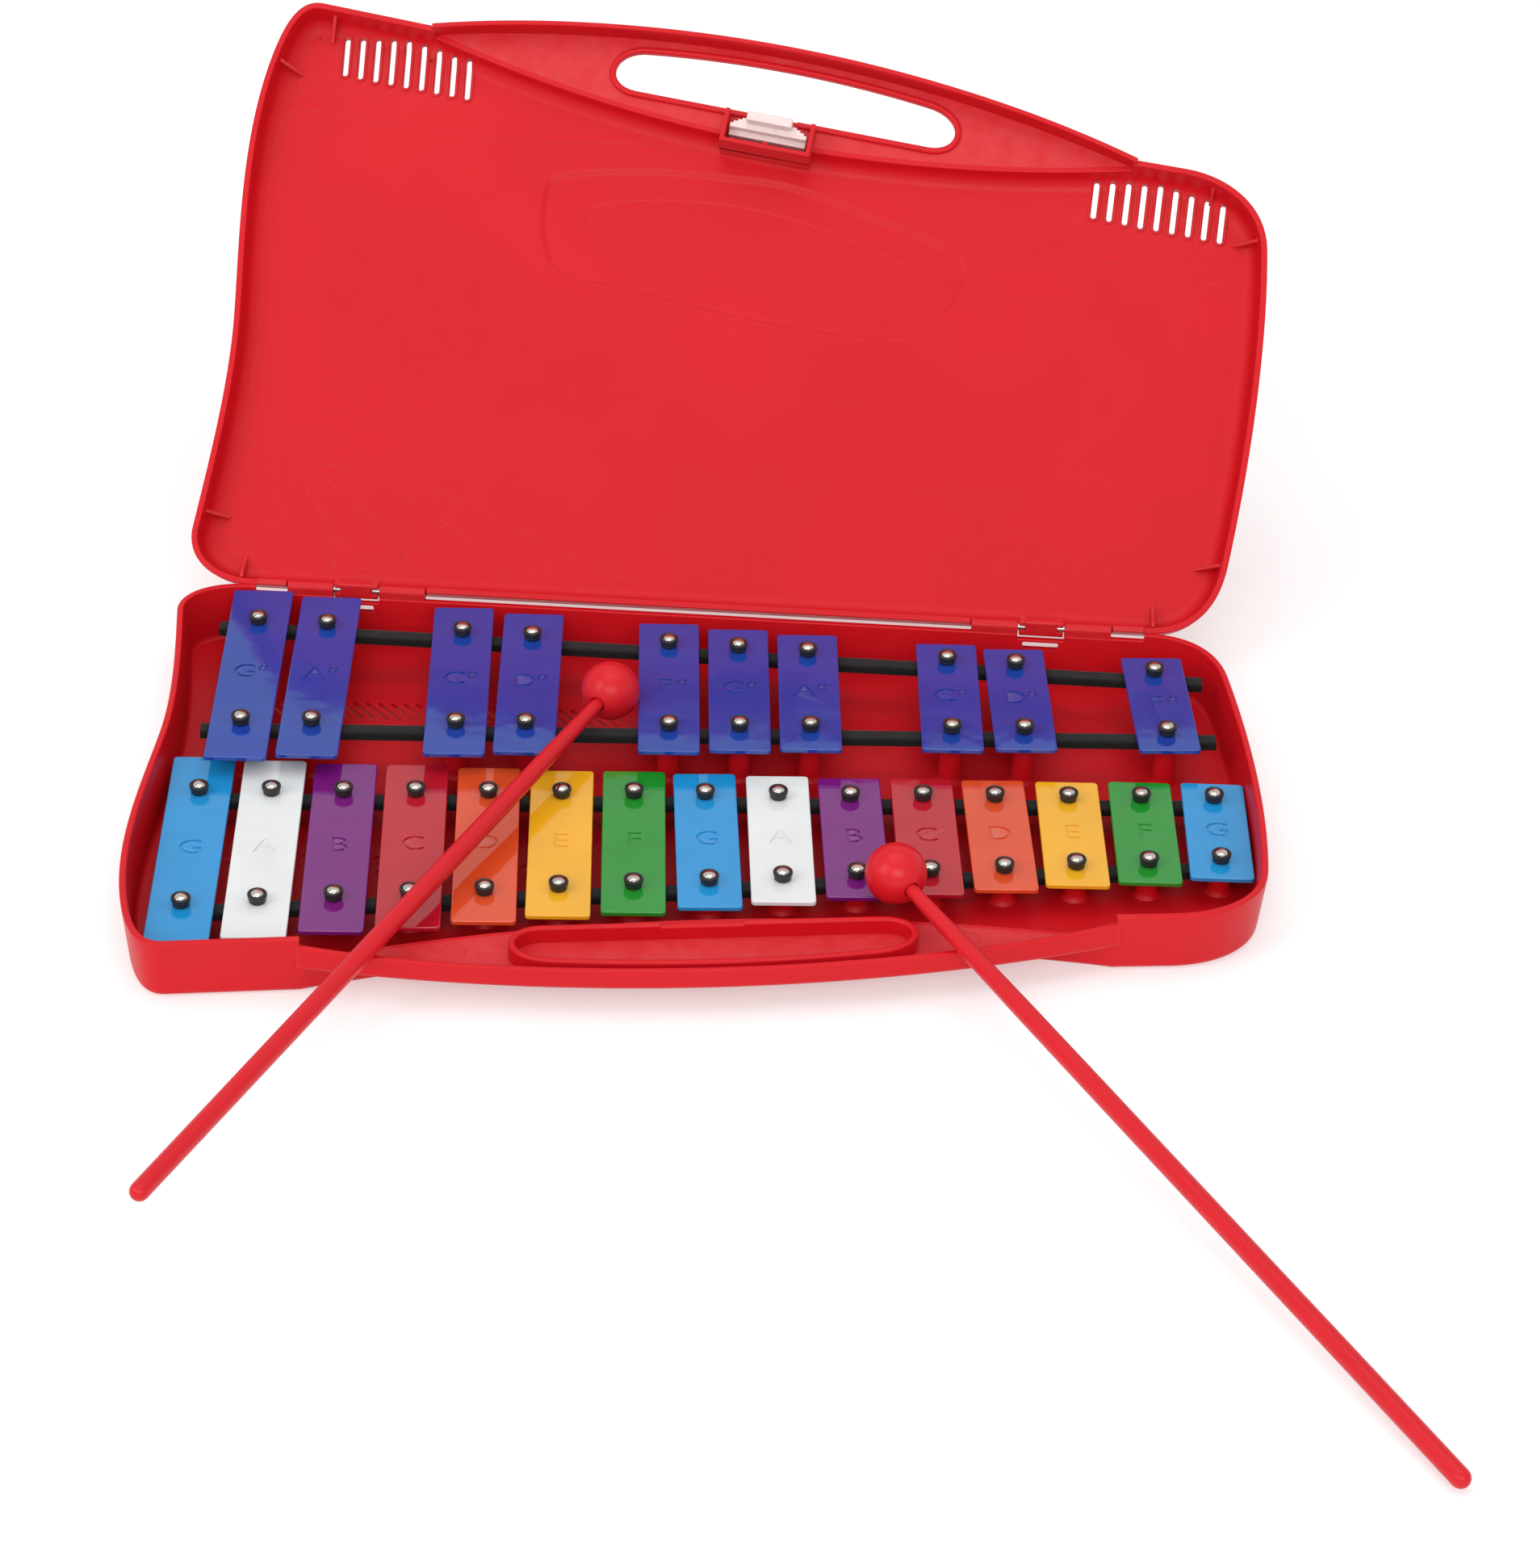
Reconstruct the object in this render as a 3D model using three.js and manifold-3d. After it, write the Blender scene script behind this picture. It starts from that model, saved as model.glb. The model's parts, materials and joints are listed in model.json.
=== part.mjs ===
// A children's glockenspiel in its carrying case: a moulded tray that holds 25 tuned steel bars on felt,
// a hinged lid with a carrying handle and a spring latch, and a pair of mallets lying across the bars.
// Millimetres, +Z up. The origin is on the table, under the middle of the hinge line, 100 mm in front of it.
import * as THREE from 'three';
import { mergeVertices } from 'three/addons/utils/BufferGeometryUtils.js';
import Module from 'manifold-3d';

const wasm = await Module();
wasm.setup();

// ---- case ----
const HINGE_Y = 100; // hinge line, behind the origin
const HINGE_Z = 20.4;
const TRAY_RIM_Z = 20.8; // where the two halves meet
const REAR_RIM_Z = 18.7; // the rear edge is cut lower, so that the lid can swing past it
const PARTING = 0.3; // gap between the closed halves
const LID_TOP_Z = 33.7; // outer face of the closed lid
const LID_OPEN = THREE.MathUtils.degToRad(135.7);
const WALL = 2.2;
const FLOOR = 2.2;
const DRAFT = 2.0; // how far the walls lean in from the rim to the outer face
const REAR_CUT_X = 150; // half the length of the lowered rear edge

// ---- handle ----
const HANDLE_PART_Z = 16.6; // where the two handle halves meet
const TRAY_PLATE_Z = 9.5; // outer face of the tray's handle half
const LID_PLATE_Z = 26.8; // outer face of the lid's handle half
const LID_RING_HIGH = 1.3; // how far the slot's rim stands up inside the lid
const PLATE = 1.8;
const HANDLE_WALL = 1.8;
const RING_WALL = 2.2;
const STEP_LEFT = new THREE.Vector2(-105, -103.6); // ends of the handle's bow
const STEP_RIGHT = new THREE.Vector2(139.4, -67.0);
const BOW_OUT = 16.4; // how far the handle bows out in front of the line between its ends
const BOW_IN = 15.0; // how far the case's front wall bows in behind it
const FRONT_SLOPE = 0.1507; // the front edge is not square to the hinge

// ---- hinges and latch ----
const HINGE_X = [-115.7, 115.5];
const HINGE_NAMES = ['left', 'right'];
const ZONE = 23.4; // half the width of a hinge
const KNUCKLE = 7.4; // half the width of the lid's knuckle
const BARREL_R = 2.6;
const PIN_R = 1.15;
const PIN_BORE_R = 1.5;
const LATCH = new THREE.Vector2(14.2, -78.2); // middle of the latch, on the rear edge of the handle slot
const LATCH_TURN = Math.atan(FRONT_SLOPE);
const LATCH_GAP = 17.4; // gap in the slot's rear wall for the latch
const BOX_WIDTH = 31.6;
const BOX_NEAR = 2.3;
const BOX_DEPTH = 14.4;
const BOX_WALL = 1.5;

// ---- bars ----
const ROW_AT = new THREE.Vector2(12.1, -26.7); // middle bar of the front row
const ROW_TURN = THREE.MathUtils.degToRad(4.63);
const PITCH = 23;
const BAR_WIDTH = 20;
const BAR_THICK = 1.6;
const NATURAL_TOP_Z = 13.0;
const SHARP_TOP_Z = 20.6;
const SHARP_ROW_Y = 77.3; // how far the raised row sits behind the front one
const SHARP_PITCH = 22.92;
const LONGEST = 103.8; // lowest natural bar
const STEP_RATE = 0.955 / 24; // length halves in a little over two octaves
const SHARP_STRETCH = 1.026;
const MIDDLE = 7; // number of the bar at the row's origin
const HOLE_R = 2.0;

// ---- felt, pins and posts ----
const FELT_WIDTH = 5.6;
const FELT_THICK = 3.0;
const GAP = 0.2;
const LINK = 0.6; // thin strip that joins a row's pins under the felt
const SHANK_R = 1.1;
const GROMMET_R = 3.3;
const GROMMET_HIGH = 3.2;
const DOME_HIGH = 0.7;
const POST_R = 3.4;

// ---- mallets ----
const MALLET = 283; // middle of the head to the start of the stick's round end
const HEAD_R = 9.6;
const STICK_R = 3.0;
const NECK_R = 2.2;

const LEFT_HEAD = new THREE.Vector3(-24.3, 39.1, 24.3);
const LEFT_AIM = new THREE.Vector3(-130.0, -217.2, 16.9);
const RIGHT_HEAD = new THREE.Vector3(71.7, -54.3, 22.9);
const RIGHT_AIM = new THREE.Vector3(232, -296.3, 3.2);

const paint = (colour, roughness, metalness = 0) => new THREE.MeshStandardMaterial({ color: colour, roughness, metalness });
const casePlastic = () => paint(0xd8202c, 0.42);
const malletPlastic = () => paint(0xd41f2b, 0.35);
const clearPlastic = () => paint(0xf1ece8, 0.3);
const felt = () => paint(0x0b0b0c, 0.95);
const steel = () => paint(0xb9b9b4, 0.28, 1);
const COLOURS = {
  g: 0x1496d7,
  a: 0xebeeee,
  b: 0x820f82,
  c: 0xbe1428,
  d: 0xe15523,
  e: 0xf0b919,
  f: 0x199628,
  sharp: 0x1a3ca5,
};
const lacquer = (note) => paint(COLOURS[note], 0.22);

// ---- solids ----
function solid(geometry) {
  geometry.deleteAttribute('normal');
  geometry.deleteAttribute('uv');
  const merged = mergeVertices(geometry, 1e-4);
  const vertProperties = new Float32Array(merged.attributes.position.array);
  const triVerts = new Uint32Array(merged.index.array);
  return new wasm.Manifold(new wasm.Mesh({ numProp: 3, vertProperties, triVerts }));
}

function toMesh(name, body, material) {
  const { vertProperties, triVerts } = body.getMesh();
  const geometry = new THREE.BufferGeometry();
  geometry.setAttribute('position', new THREE.BufferAttribute(vertProperties, 3));
  geometry.setIndex(new THREE.BufferAttribute(triVerts, 1));
  geometry.computeVertexNormals();
  const mesh = new THREE.Mesh(geometry, material);
  mesh.name = name;
  return mesh;
}

function block(x0, x1, y0, y1, z0, z1) {
  const geometry = new THREE.BoxGeometry(x1 - x0, y1 - y0, z1 - z0);
  geometry.translate((x0 + x1) / 2, (y0 + y1) / 2, (z0 + z1) / 2);
  return solid(geometry);
}

function post(x, y, z0, z1, radius, sides) {
  const geometry = new THREE.CylinderGeometry(radius, radius, z1 - z0, sides);
  geometry.rotateX(Math.PI / 2);
  geometry.translate(x, y, (z0 + z1) / 2);
  return solid(geometry);
}

// A straight prism over a plan shape, with its outline moved out by grow.
function prism(shape, z0, z1, grow = 0, curveSegments = 8) {
  const edge = 0.3;
  const geometry = new THREE.ExtrudeGeometry(shape, {
    depth: z1 - z0 - 2 * edge,
    bevelThickness: edge,
    bevelSize: 0,
    bevelOffset: grow,
    bevelSegments: 1,
    curveSegments,
  });
  geometry.translate(0, 0, z0 + edge);
  return solid(geometry);
}

// A prism whose walls lean in by DRAFT between the height where it is widest and its narrow end.
function drafted(shape, inset, wideZ, narrowZ) {
  const height = Math.abs(narrowZ - wideZ);
  const geometry = new THREE.ExtrudeGeometry(shape, {
    depth: 1,
    bevelThickness: height,
    bevelSize: DRAFT,
    bevelOffset: -DRAFT - inset,
    bevelSegments: 1,
    curveSegments: 8,
  });
  const up = narrowZ > wideZ;
  geometry.translate(0, 0, up ? wideZ - 1 : wideZ);
  const beyond = up ? block(-300, 300, -300, 300, wideZ - 90, wideZ) : block(-300, 300, -300, 300, wideZ, wideZ + 90);
  return solid(geometry).subtract(beyond);
}

// An arc from one point to another that bows by sagitta to its right-hand side.
function bow(shape, from, to, sagitta) {
  const chord = to.clone().sub(from);
  const half = chord.length() / 2;
  const radius = (half * half + sagitta * sagitta) / (2 * Math.abs(sagitta));
  const right = new THREE.Vector2(chord.y, -chord.x).normalize().multiplyScalar(Math.sign(sagitta));
  const centre = from.clone().add(to).multiplyScalar(0.5).addScaledVector(right, Math.abs(sagitta) - radius);
  const start = Math.atan2(from.y - centre.y, from.x - centre.x);
  const end = Math.atan2(to.y - centre.y, to.x - centre.x);
  shape.absarc(centre.x, centre.y, radius, start, end, sagitta < 0);
}

// Plan of the case without its handle, anticlockwise from the right end of the rear edge.
function caseShape() {
  const shape = new THREE.Shape();
  shape.moveTo(150, HINGE_Y);
  shape.lineTo(-152, HINGE_Y);
  shape.bezierCurveTo(-163, 100, -174.5, 94, -174, 82);
  shape.bezierCurveTo(-171.5, 64, -166.4, 34, -166.4, 8);
  shape.bezierCurveTo(-166.8, -22, -170.5, -60, -161, -93);
  shape.bezierCurveTo(-157.6, -104.5, -153.3, -112.5, -145.3, -111.3);
  shape.lineTo(STEP_LEFT.x, STEP_LEFT.y - 1.5);
  shape.lineTo(STEP_LEFT.x, STEP_LEFT.y);
  bow(shape, STEP_LEFT, STEP_RIGHT, -BOW_IN);
  shape.lineTo(STEP_RIGHT.x, STEP_RIGHT.y - 1.5);
  shape.lineTo(158, -65.6);
  shape.bezierCurveTo(172, -63.5, 185.2, -54, 186.1, -38);
  shape.bezierCurveTo(187.6, -4, 183.4, 38, 177.1, 75);
  shape.bezierCurveTo(174.8, 88, 168, HINGE_Y, 150, HINGE_Y);
  return shape;
}

// A plan between the two ends of the handle, bowed in front by the amount given. Behind, it follows the case's
// front wall and reaches into it by the depth given.
function bowZone(frontBow, reach) {
  const shape = new THREE.Shape();
  const back = new THREE.Vector2(0, reach);
  shape.moveTo(STEP_LEFT.x, STEP_LEFT.y);
  bow(shape, STEP_LEFT, STEP_RIGHT, frontBow);
  shape.lineTo(STEP_RIGHT.x, STEP_RIGHT.y + reach);
  bow(shape, STEP_RIGHT.clone().add(back), STEP_LEFT.clone().add(back), BOW_IN);
  return shape;
}

const latchPoint = (along, out) => {
  const point = new THREE.Vector2(along, out).rotateAround(new THREE.Vector2(), LATCH_TURN);
  return point.add(LATCH);
};

// The slot that fingers go through: straight behind, bowed like the handle in front.
function slotShape() {
  const shape = new THREE.Shape();
  const rearLeft = latchPoint(-48.5, 0);
  const rearRight = latchPoint(54.5, 0);
  const frontRight = latchPoint(51.5, -14.6);
  const frontLeft = latchPoint(-46.5, -14.6);
  shape.moveTo(rearRight.x, rearRight.y);
  shape.lineTo(rearLeft.x, rearLeft.y);
  const left = [latchPoint(-60.5, 0), latchPoint(-60, -13.6)];
  shape.bezierCurveTo(left[0].x, left[0].y, left[1].x, left[1].y, frontLeft.x, frontLeft.y);
  bow(shape, frontLeft, frontRight, 2.9);
  const right = [latchPoint(66, -13.2), latchPoint(66.5, 0)];
  shape.bezierCurveTo(right[0].x, right[0].y, right[1].x, right[1].y, rearRight.x, rearRight.y);
  return shape;
}

// One half of the handle between its parting face and its outer face: a plate with a front wall, and a ring
// around the slot that stands up to ringZ.
function handleHalf(partZ, outerZ, ringZ, slot) {
  const low = Math.min(partZ, outerZ);
  const high = Math.max(partZ, outerZ);
  const up = partZ > outerZ;
  const pocket = prism(bowZone(BOW_OUT - HANDLE_WALL, 4.5), up ? low + PLATE : low - 1, up ? high + 1 : high - PLATE);
  const ring = prism(slotShape(), Math.min(ringZ, outerZ), Math.max(ringZ, outerZ), RING_WALL);
  return prism(bowZone(BOW_OUT, 2), low, high).subtract(pocket).add(ring).subtract(slot);
}

// A box in the latch's own directions: along the slot and back from it.
function latchBlock(along0, along1, back0, back1, z0, z1) {
  const geometry = new THREE.BoxGeometry(along1 - along0, back1 - back0, z1 - z0);
  geometry.translate((along0 + along1) / 2, (back0 + back1) / 2, (z0 + z1) / 2);
  geometry.rotateZ(LATCH_TURN);
  geometry.translate(LATCH.x, LATCH.y, 0);
  return solid(geometry);
}

function barrel(x0, x1, radius, sides = 16) {
  const geometry = new THREE.CylinderGeometry(radius, radius, x1 - x0, sides);
  geometry.rotateZ(Math.PI / 2);
  geometry.translate((x0 + x1) / 2, HINGE_Y, HINGE_Z);
  return solid(geometry);
}

// ---- the bars' places ----
const NATURAL_STEPS = [0, 2, 4, 5, 7, 9, 10, 12, 14, 16, 17, 19, 21, 22, 24];
const NATURAL_NOTES = ['g', 'a', 'b', 'c', 'd', 'e', 'f'];
const NATURAL_TURNS = [-0.2, 0, 0.3, 0.5, 0.4, -0.2, -0.1, 0.8, 0.3, 0.5, 0.1, 0.4, -0.9, -1.6, -2.5];
const SHARP_STEPS = [1, 3, 6, 8, 11, 13, 15, 18, 20, 23];
const SHARP_SLOTS = [0.5, 1.5, 3.5, 4.5, 6.5, 7.5, 8.5, 10.5, 11.5, 13.5];
const SHARP_NOTES = ['g', 'a', 'c', 'd', 'f', 'g', 'a', 'c', 'd', 'f'];
const SHARP_TURNS = [-1.0, -1.4, -0.2, -1.1, -0.3, -0.5, -0.65, -1.2, 0.1, 0.9];

const barLength = (steps) => LONGEST * 2 ** (-STEP_RATE * steps);

const naturals = NATURAL_STEPS.map((steps, i) => {
  const number = String(i + 1).padStart(2, '0');
  const note = NATURAL_NOTES[i % 7];
  const offset = i - MIDDLE;
  const turn = THREE.MathUtils.degToRad(NATURAL_TURNS[i]);
  return { name: `bar_${number}_${note}`, note, x: offset * PITCH, y: 1.214 * offset, length: barLength(steps), turn };
});

const sharps = SHARP_STEPS.map((steps, i) => {
  const number = String(i + 1).padStart(2, '0');
  const offset = SHARP_SLOTS[i] - MIDDLE;
  const turn = THREE.MathUtils.degToRad(SHARP_TURNS[i]);
  const length = SHARP_STRETCH * barLength(steps);
  const name = `bar_sharp_${number}_${SHARP_NOTES[i]}`;
  const y = SHARP_ROW_Y - 0.955 * offset;
  return { name, note: 'sharp', x: offset * SHARP_PITCH - 0.3, y, length, turn };
});

// How far a bar's two pins sit from its middle.
function nodeReach(length) {
  const longer = length - 53.5;
  return length / 2 - (9.6 + 0.13 * longer + 0.0018 * longer * longer);
}

// A pin's place in the row's own plane: side is +1 for the rear pin, -1 for the front one.
function pinPoint(bar, side) {
  const reach = new THREE.Vector2(0, side * nodeReach(bar.length)).rotateAround(new THREE.Vector2(), bar.turn);
  return reach.add(new THREE.Vector2(bar.x, bar.y));
}

function inCase(point) {
  return point.clone().rotateAround(new THREE.Vector2(), ROW_TURN).add(ROW_AT);
}

function barMesh(bar, topZ) {
  const shape = new THREE.Shape();
  const w = BAR_WIDTH / 2;
  const l = bar.length / 2;
  shape.setFromPoints([[-w, -l], [w, -l], [w, l], [-w, l]].map(([x, y]) => new THREE.Vector2(x, y)));
  for (const side of [-1, 1]) {
    const hole = new THREE.Path();
    hole.absarc(0, side * nodeReach(bar.length), HOLE_R, 0, 2 * Math.PI, true);
    shape.holes.push(hole);
  }
  const geometry = new THREE.ExtrudeGeometry(shape, { depth: BAR_THICK, bevelEnabled: false, curveSegments: 4 });
  const mesh = new THREE.Mesh(geometry, lacquer(bar.note));
  mesh.name = bar.name;
  mesh.position.set(bar.x, bar.y, topZ - BAR_THICK);
  mesh.rotation.z = bar.turn;
  return mesh;
}

// A strip of the given width through points in the row's plane, run on past both ends.
function stripShape(points, width, runLeft, runRight) {
  const first = points[0].clone().sub(new THREE.Vector2(runLeft, 0));
  const last = points.at(-1).clone().add(new THREE.Vector2(runRight, 0));
  const line = [first, ...points, last];
  const front = line.map((p) => new THREE.Vector2(p.x, p.y - width / 2));
  const rear = line.map((p) => new THREE.Vector2(p.x, p.y + width / 2)).reverse();
  return new THREE.Shape([...front, ...rear]);
}

function feltMesh(name, points, topZ, runLeft, runRight) {
  const shape = stripShape(points, FELT_WIDTH, runLeft, runRight);
  for (const p of points) {
    const hole = new THREE.Path();
    hole.absarc(p.x, p.y, SHANK_R + 0.5, 0, 2 * Math.PI, true);
    shape.holes.push(hole);
  }
  const geometry = new THREE.ExtrudeGeometry(shape, { depth: FELT_THICK, bevelEnabled: false, curveSegments: 2 });
  const mesh = new THREE.Mesh(geometry, felt());
  mesh.name = name;
  mesh.position.z = topZ - FELT_THICK;
  return mesh;
}

// One row's pins, each a shank with a rubber ring and a domed head, joined by a thin strip under the felt.
function pinRowMesh(name, points, barTopZ) {
  const ringLow = barTopZ + GAP;
  const ringHigh = ringLow + GROMMET_HIGH;
  const linkHigh = barTopZ - BAR_THICK - 2 * GAP - FELT_THICK;
  const linkLow = linkHigh - LINK;
  let row = prism(stripShape(points, 2 * SHANK_R + 0.6, 2, 2), linkLow, linkHigh);
  const profile = [
    [0, linkLow + 0.1],
    [SHANK_R, linkLow + 0.1],
    [SHANK_R, ringLow],
    [GROMMET_R, ringLow],
    [GROMMET_R, ringHigh],
    [0, ringHigh + DOME_HIGH],
  ].map(([r, z]) => new THREE.Vector2(r, z));
  for (const p of points) {
    const geometry = new THREE.LatheGeometry(profile, 6);
    geometry.rotateX(Math.PI / 2);
    geometry.translate(p.x, p.y, 0);
    row = row.add(solid(geometry));
  }
  return toMesh(name, row, steel());
}

const pinRows = [
  { place: 'accidental_rear', bars: sharps, side: 1, topZ: SHARP_TOP_Z, run: [13, 16] },
  { place: 'accidental_front', bars: sharps, side: -1, topZ: SHARP_TOP_Z, run: [13, 16] },
  { place: 'natural_rear', bars: naturals, side: 1, topZ: NATURAL_TOP_Z, run: [10, 7.5] },
  { place: 'natural_front', bars: naturals, side: -1, topZ: NATURAL_TOP_Z, run: [9.5, 8.5] },
];
for (const row of pinRows) {
  row.points = row.bars.map((bar) => pinPoint(bar, row.side));
}

// ---- tray ----
const SLIT_PITCH = 4.3;
const SLIT_LONG = 13;
const SLIT_WIDE = 1.3;

// Sound slits: a row of slanting cuts through the floor.
function slits(first, last, lean) {
  const count = Math.round(first.distanceTo(last) / SLIT_PITCH);
  const cuts = [];
  for (let i = 0; i <= count; i += 1) {
    const at = first.clone().lerp(last, i / count);
    const geometry = new THREE.BoxGeometry(SLIT_WIDE, SLIT_LONG, 10);
    geometry.rotateZ(lean);
    geometry.translate(at.x, at.y, 0);
    cuts.push(solid(geometry));
  }
  return wasm.Manifold.union(cuts);
}

function tray() {
  const plan = caseShape();
  let body = drafted(plan, 0, TRAY_RIM_Z, 0);
  const cavity = drafted(plan, WALL, TRAY_RIM_Z, FLOOR).add(prism(plan, TRAY_RIM_Z - 0.5, TRAY_RIM_Z + 5, -WALL));
  body = body.subtract(cavity);
  body = body.subtract(prism(bowZone(BOW_OUT + 5, 4.5), TRAY_PLATE_Z + PLATE, TRAY_RIM_Z + 5));
  const blindSlot = prism(slotShape(), TRAY_PLATE_Z + PLATE, 60);
  body = body.add(handleHalf(HANDLE_PART_Z, TRAY_PLATE_Z, HANDLE_PART_Z, blindSlot));
  body = body.subtract(latchBlock(-12.75, 12.75, -4, 4, HANDLE_PART_Z - 0.6, 30));
  body = body.subtract(block(-REAR_CUT_X, REAR_CUT_X, HINGE_Y - 5, HINGE_Y + 5, REAR_RIM_Z, 40));
  for (const x of HINGE_X) {
    for (const side of [-1, 1]) {
      const near = side * (KNUCKLE + 0.4);
      const far = side * ZONE;
      const x0 = x + Math.min(near, far);
      const x1 = x + Math.max(near, far);
      body = body.add(block(x0, x1, HINGE_Y - 2.6, HINGE_Y, 14, HINGE_Z));
      body = body.add(barrel(x0, x1, BARREL_R));
    }
    body = body.subtract(block(x - KNUCKLE - 0.4, x + KNUCKLE + 0.4, HINGE_Y - 4, HINGE_Y + 5, 16.9, 40));
    body = body.subtract(block(x - 6, x + 6, HINGE_Y - 6, HINGE_Y + 5, 13.4, 16));
    body = body.subtract(barrel(x - ZONE - 1, x + ZONE + 1, PIN_BORE_R, 12));
  }
  const posts = [];
  for (const row of pinRows) {
    const topZ = row.topZ - BAR_THICK - 3 * GAP - FELT_THICK - LINK;
    for (const p of row.points) {
      const at = inCase(p);
      posts.push(post(at.x, at.y, FLOOR - 0.6, topZ, POST_R, 6));
    }
  }
  body = body.add(wasm.Manifold.union(posts));
  const lean = THREE.MathUtils.degToRad(42);
  body = body.subtract(slits(new THREE.Vector2(-137, 52), new THREE.Vector2(-18, 57), lean));
  body = body.subtract(slits(new THREE.Vector2(-138, -36), new THREE.Vector2(-40, -36), -lean));
  return toMesh('tray', body, casePlastic());
}

// ---- lid, drawn closed ----
const VENT_WIDE = 2.4;
const LEFT_VENTS = {
  first: -136.9,
  last: -93.4,
  fronts: [-102.8, -102.8, -102.8, -102.8, -102.6, -101.3, -99.8, -97.8, -96.4],
  rears: [-88.5, -87.6, -86.8, -86, -85.1, -84.5, -83.5, -82.8, -81.9],
};
const RIGHT_VENTS = {
  first: 127,
  last: 170.6,
  fronts: [-61.1, -61.1, -61.1, -61.1, -61, -60.5, -59.5, -58, -56.4],
  rears: [-49.5, -48.7, -47.7, -46.7, -46.1, -45.3, -44.5, -43.6, -42.7],
};

function stadium(length, radius) {
  const shape = new THREE.Shape();
  const reach = length / 2 - radius;
  shape.absarc(0, reach, radius, 0, Math.PI, false);
  shape.absarc(0, -reach, radius, Math.PI, 2 * Math.PI, false);
  return shape;
}

// Nine vent slots across a corner of the lid.
function vents({ first, last, fronts, rears }) {
  const cuts = fronts.map((front, i) => {
    const x = first + ((last - first) * i) / (fronts.length - 1);
    const geometry = new THREE.ExtrudeGeometry(stadium(rears[i] - front, VENT_WIDE / 2), {
      depth: 10,
      bevelEnabled: false,
      curveSegments: 2,
    });
    geometry.translate(x, (front + rears[i]) / 2, LID_TOP_Z - 6);
    return solid(geometry);
  });
  return wasm.Manifold.union(cuts);
}

function lid() {
  const plan = caseShape();
  const rimZ = TRAY_RIM_Z + PARTING;
  let body = drafted(plan, 0, rimZ, LID_TOP_Z);
  body = body.add(block(-REAR_CUT_X + 0.4, REAR_CUT_X - 0.4, HINGE_Y - WALL, HINGE_Y, REAR_RIM_Z + PARTING, rimZ + 1));
  const cavity = drafted(plan, WALL, rimZ, LID_TOP_Z - FLOOR).add(prism(plan, rimZ - 4, rimZ + 0.5, -WALL));
  body = body.subtract(cavity);
  const handlePart = HANDLE_PART_Z + PARTING;
  const plateIn = LID_PLATE_Z - PLATE;
  body = body.subtract(prism(bowZone(BOW_OUT + 5, 4.5), rimZ - 6, plateIn));
  const openSlot = prism(slotShape(), -10, 60);
  body = body.add(handleHalf(handlePart, LID_PLATE_Z, plateIn - LID_RING_HIGH, openSlot));
  for (const x of HINGE_X) {
    body = body.subtract(block(x - ZONE - 0.5, x + ZONE + 0.5, HINGE_Y - 8, HINGE_Y + 5, 10, HINGE_Z + 3));
    body = body.add(block(x - KNUCKLE, x + KNUCKLE, HINGE_Y - 2.4, HINGE_Y - 0.2, HINGE_Z, HINGE_Z + 4.4));
    body = body.add(barrel(x - KNUCKLE, x + KNUCKLE, BARREL_R));
    body = body.subtract(barrel(x - ZONE - 1, x + ZONE + 1, PIN_BORE_R, 12));
  }
  body = body.subtract(vents(LEFT_VENTS)).subtract(vents(RIGHT_VENTS));
  const half = BOX_WIDTH / 2;
  const boxFront = latchBlock(-half, half, BOX_NEAR, BOX_DEPTH, handlePart, LID_PLATE_Z - 0.4);
  const boxRear = latchBlock(-half, half, 9.2, BOX_DEPTH, handlePart, LID_TOP_Z - FLOOR + 0.5);
  const inside = latchBlock(-half + BOX_WALL, half - BOX_WALL, 0, BOX_DEPTH - BOX_WALL, handlePart - 1, LID_TOP_Z + 1);
  body = body.add(boxFront.add(boxRear).subtract(inside));
  body = body.subtract(latchBlock(-LATCH_GAP / 2, LATCH_GAP / 2, -4, 3.4, handlePart - 1, plateIn));
  return toMesh('lid', body, casePlastic());
}

// The latch is one springy moulding: a thumb tab between two wings, with a lip that hooks behind the tray's ring.
function latchClip() {
  const low = HANDLE_PART_Z + PARTING;
  const high = LID_PLATE_Z - PLATE - PARTING;
  const tab = latchBlock(-8, 8, 2.8, 5.6, low - 2.4, high);
  const wings = latchBlock(-13.6, 13.6, 4.2, 7.8, low + 1.6, high);
  const shelf = latchBlock(-13.6, 13.6, 4.2, 10, high - 1.6, high);
  return toMesh('latch_clip', tab.add(wings).add(shelf), clearPlastic());
}

// ---- mallets ----
function malletMeshes(side, head, aim) {
  const group = new THREE.Group();
  group.position.copy(head);
  group.quaternion.setFromUnitVectors(new THREE.Vector3(0, 0, 1), aim.clone().sub(head).normalize());
  const ball = solid(new THREE.SphereGeometry(HEAD_R, 14, 9).rotateX(Math.PI / 2));
  const socket = post(0, 0, 3, 20, NECK_R + 0.25, 10);
  const profile = [[0, 3.4], [NECK_R, 3.4], [NECK_R, 14], [2.7, 40], [STICK_R, 90], [STICK_R, MALLET]];
  for (let i = 1; i <= 3; i += 1) {
    const angle = (i / 3) * (Math.PI / 2);
    profile.push([i === 3 ? 0 : STICK_R * Math.cos(angle), MALLET + STICK_R * Math.sin(angle)]);
  }
  const stick = solid(new THREE.LatheGeometry(profile.map(([r, z]) => new THREE.Vector2(r, z)), 10).rotateX(Math.PI / 2));
  group.add(toMesh(`mallet_${side}_head`, ball.subtract(socket), malletPlastic()));
  group.add(toMesh(`mallet_${side}_stick`, stick, malletPlastic()));
  return group;
}

// ---- assembly ----
const glockenspiel = new THREE.Group();
glockenspiel.add(tray());

const openLid = new THREE.Group();
openLid.position.set(0, HINGE_Y, HINGE_Z);
openLid.rotation.x = -LID_OPEN;
for (const mesh of [lid(), latchClip()]) {
  mesh.position.set(0, -HINGE_Y, -HINGE_Z);
  openLid.add(mesh);
}
glockenspiel.add(openLid);

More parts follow.
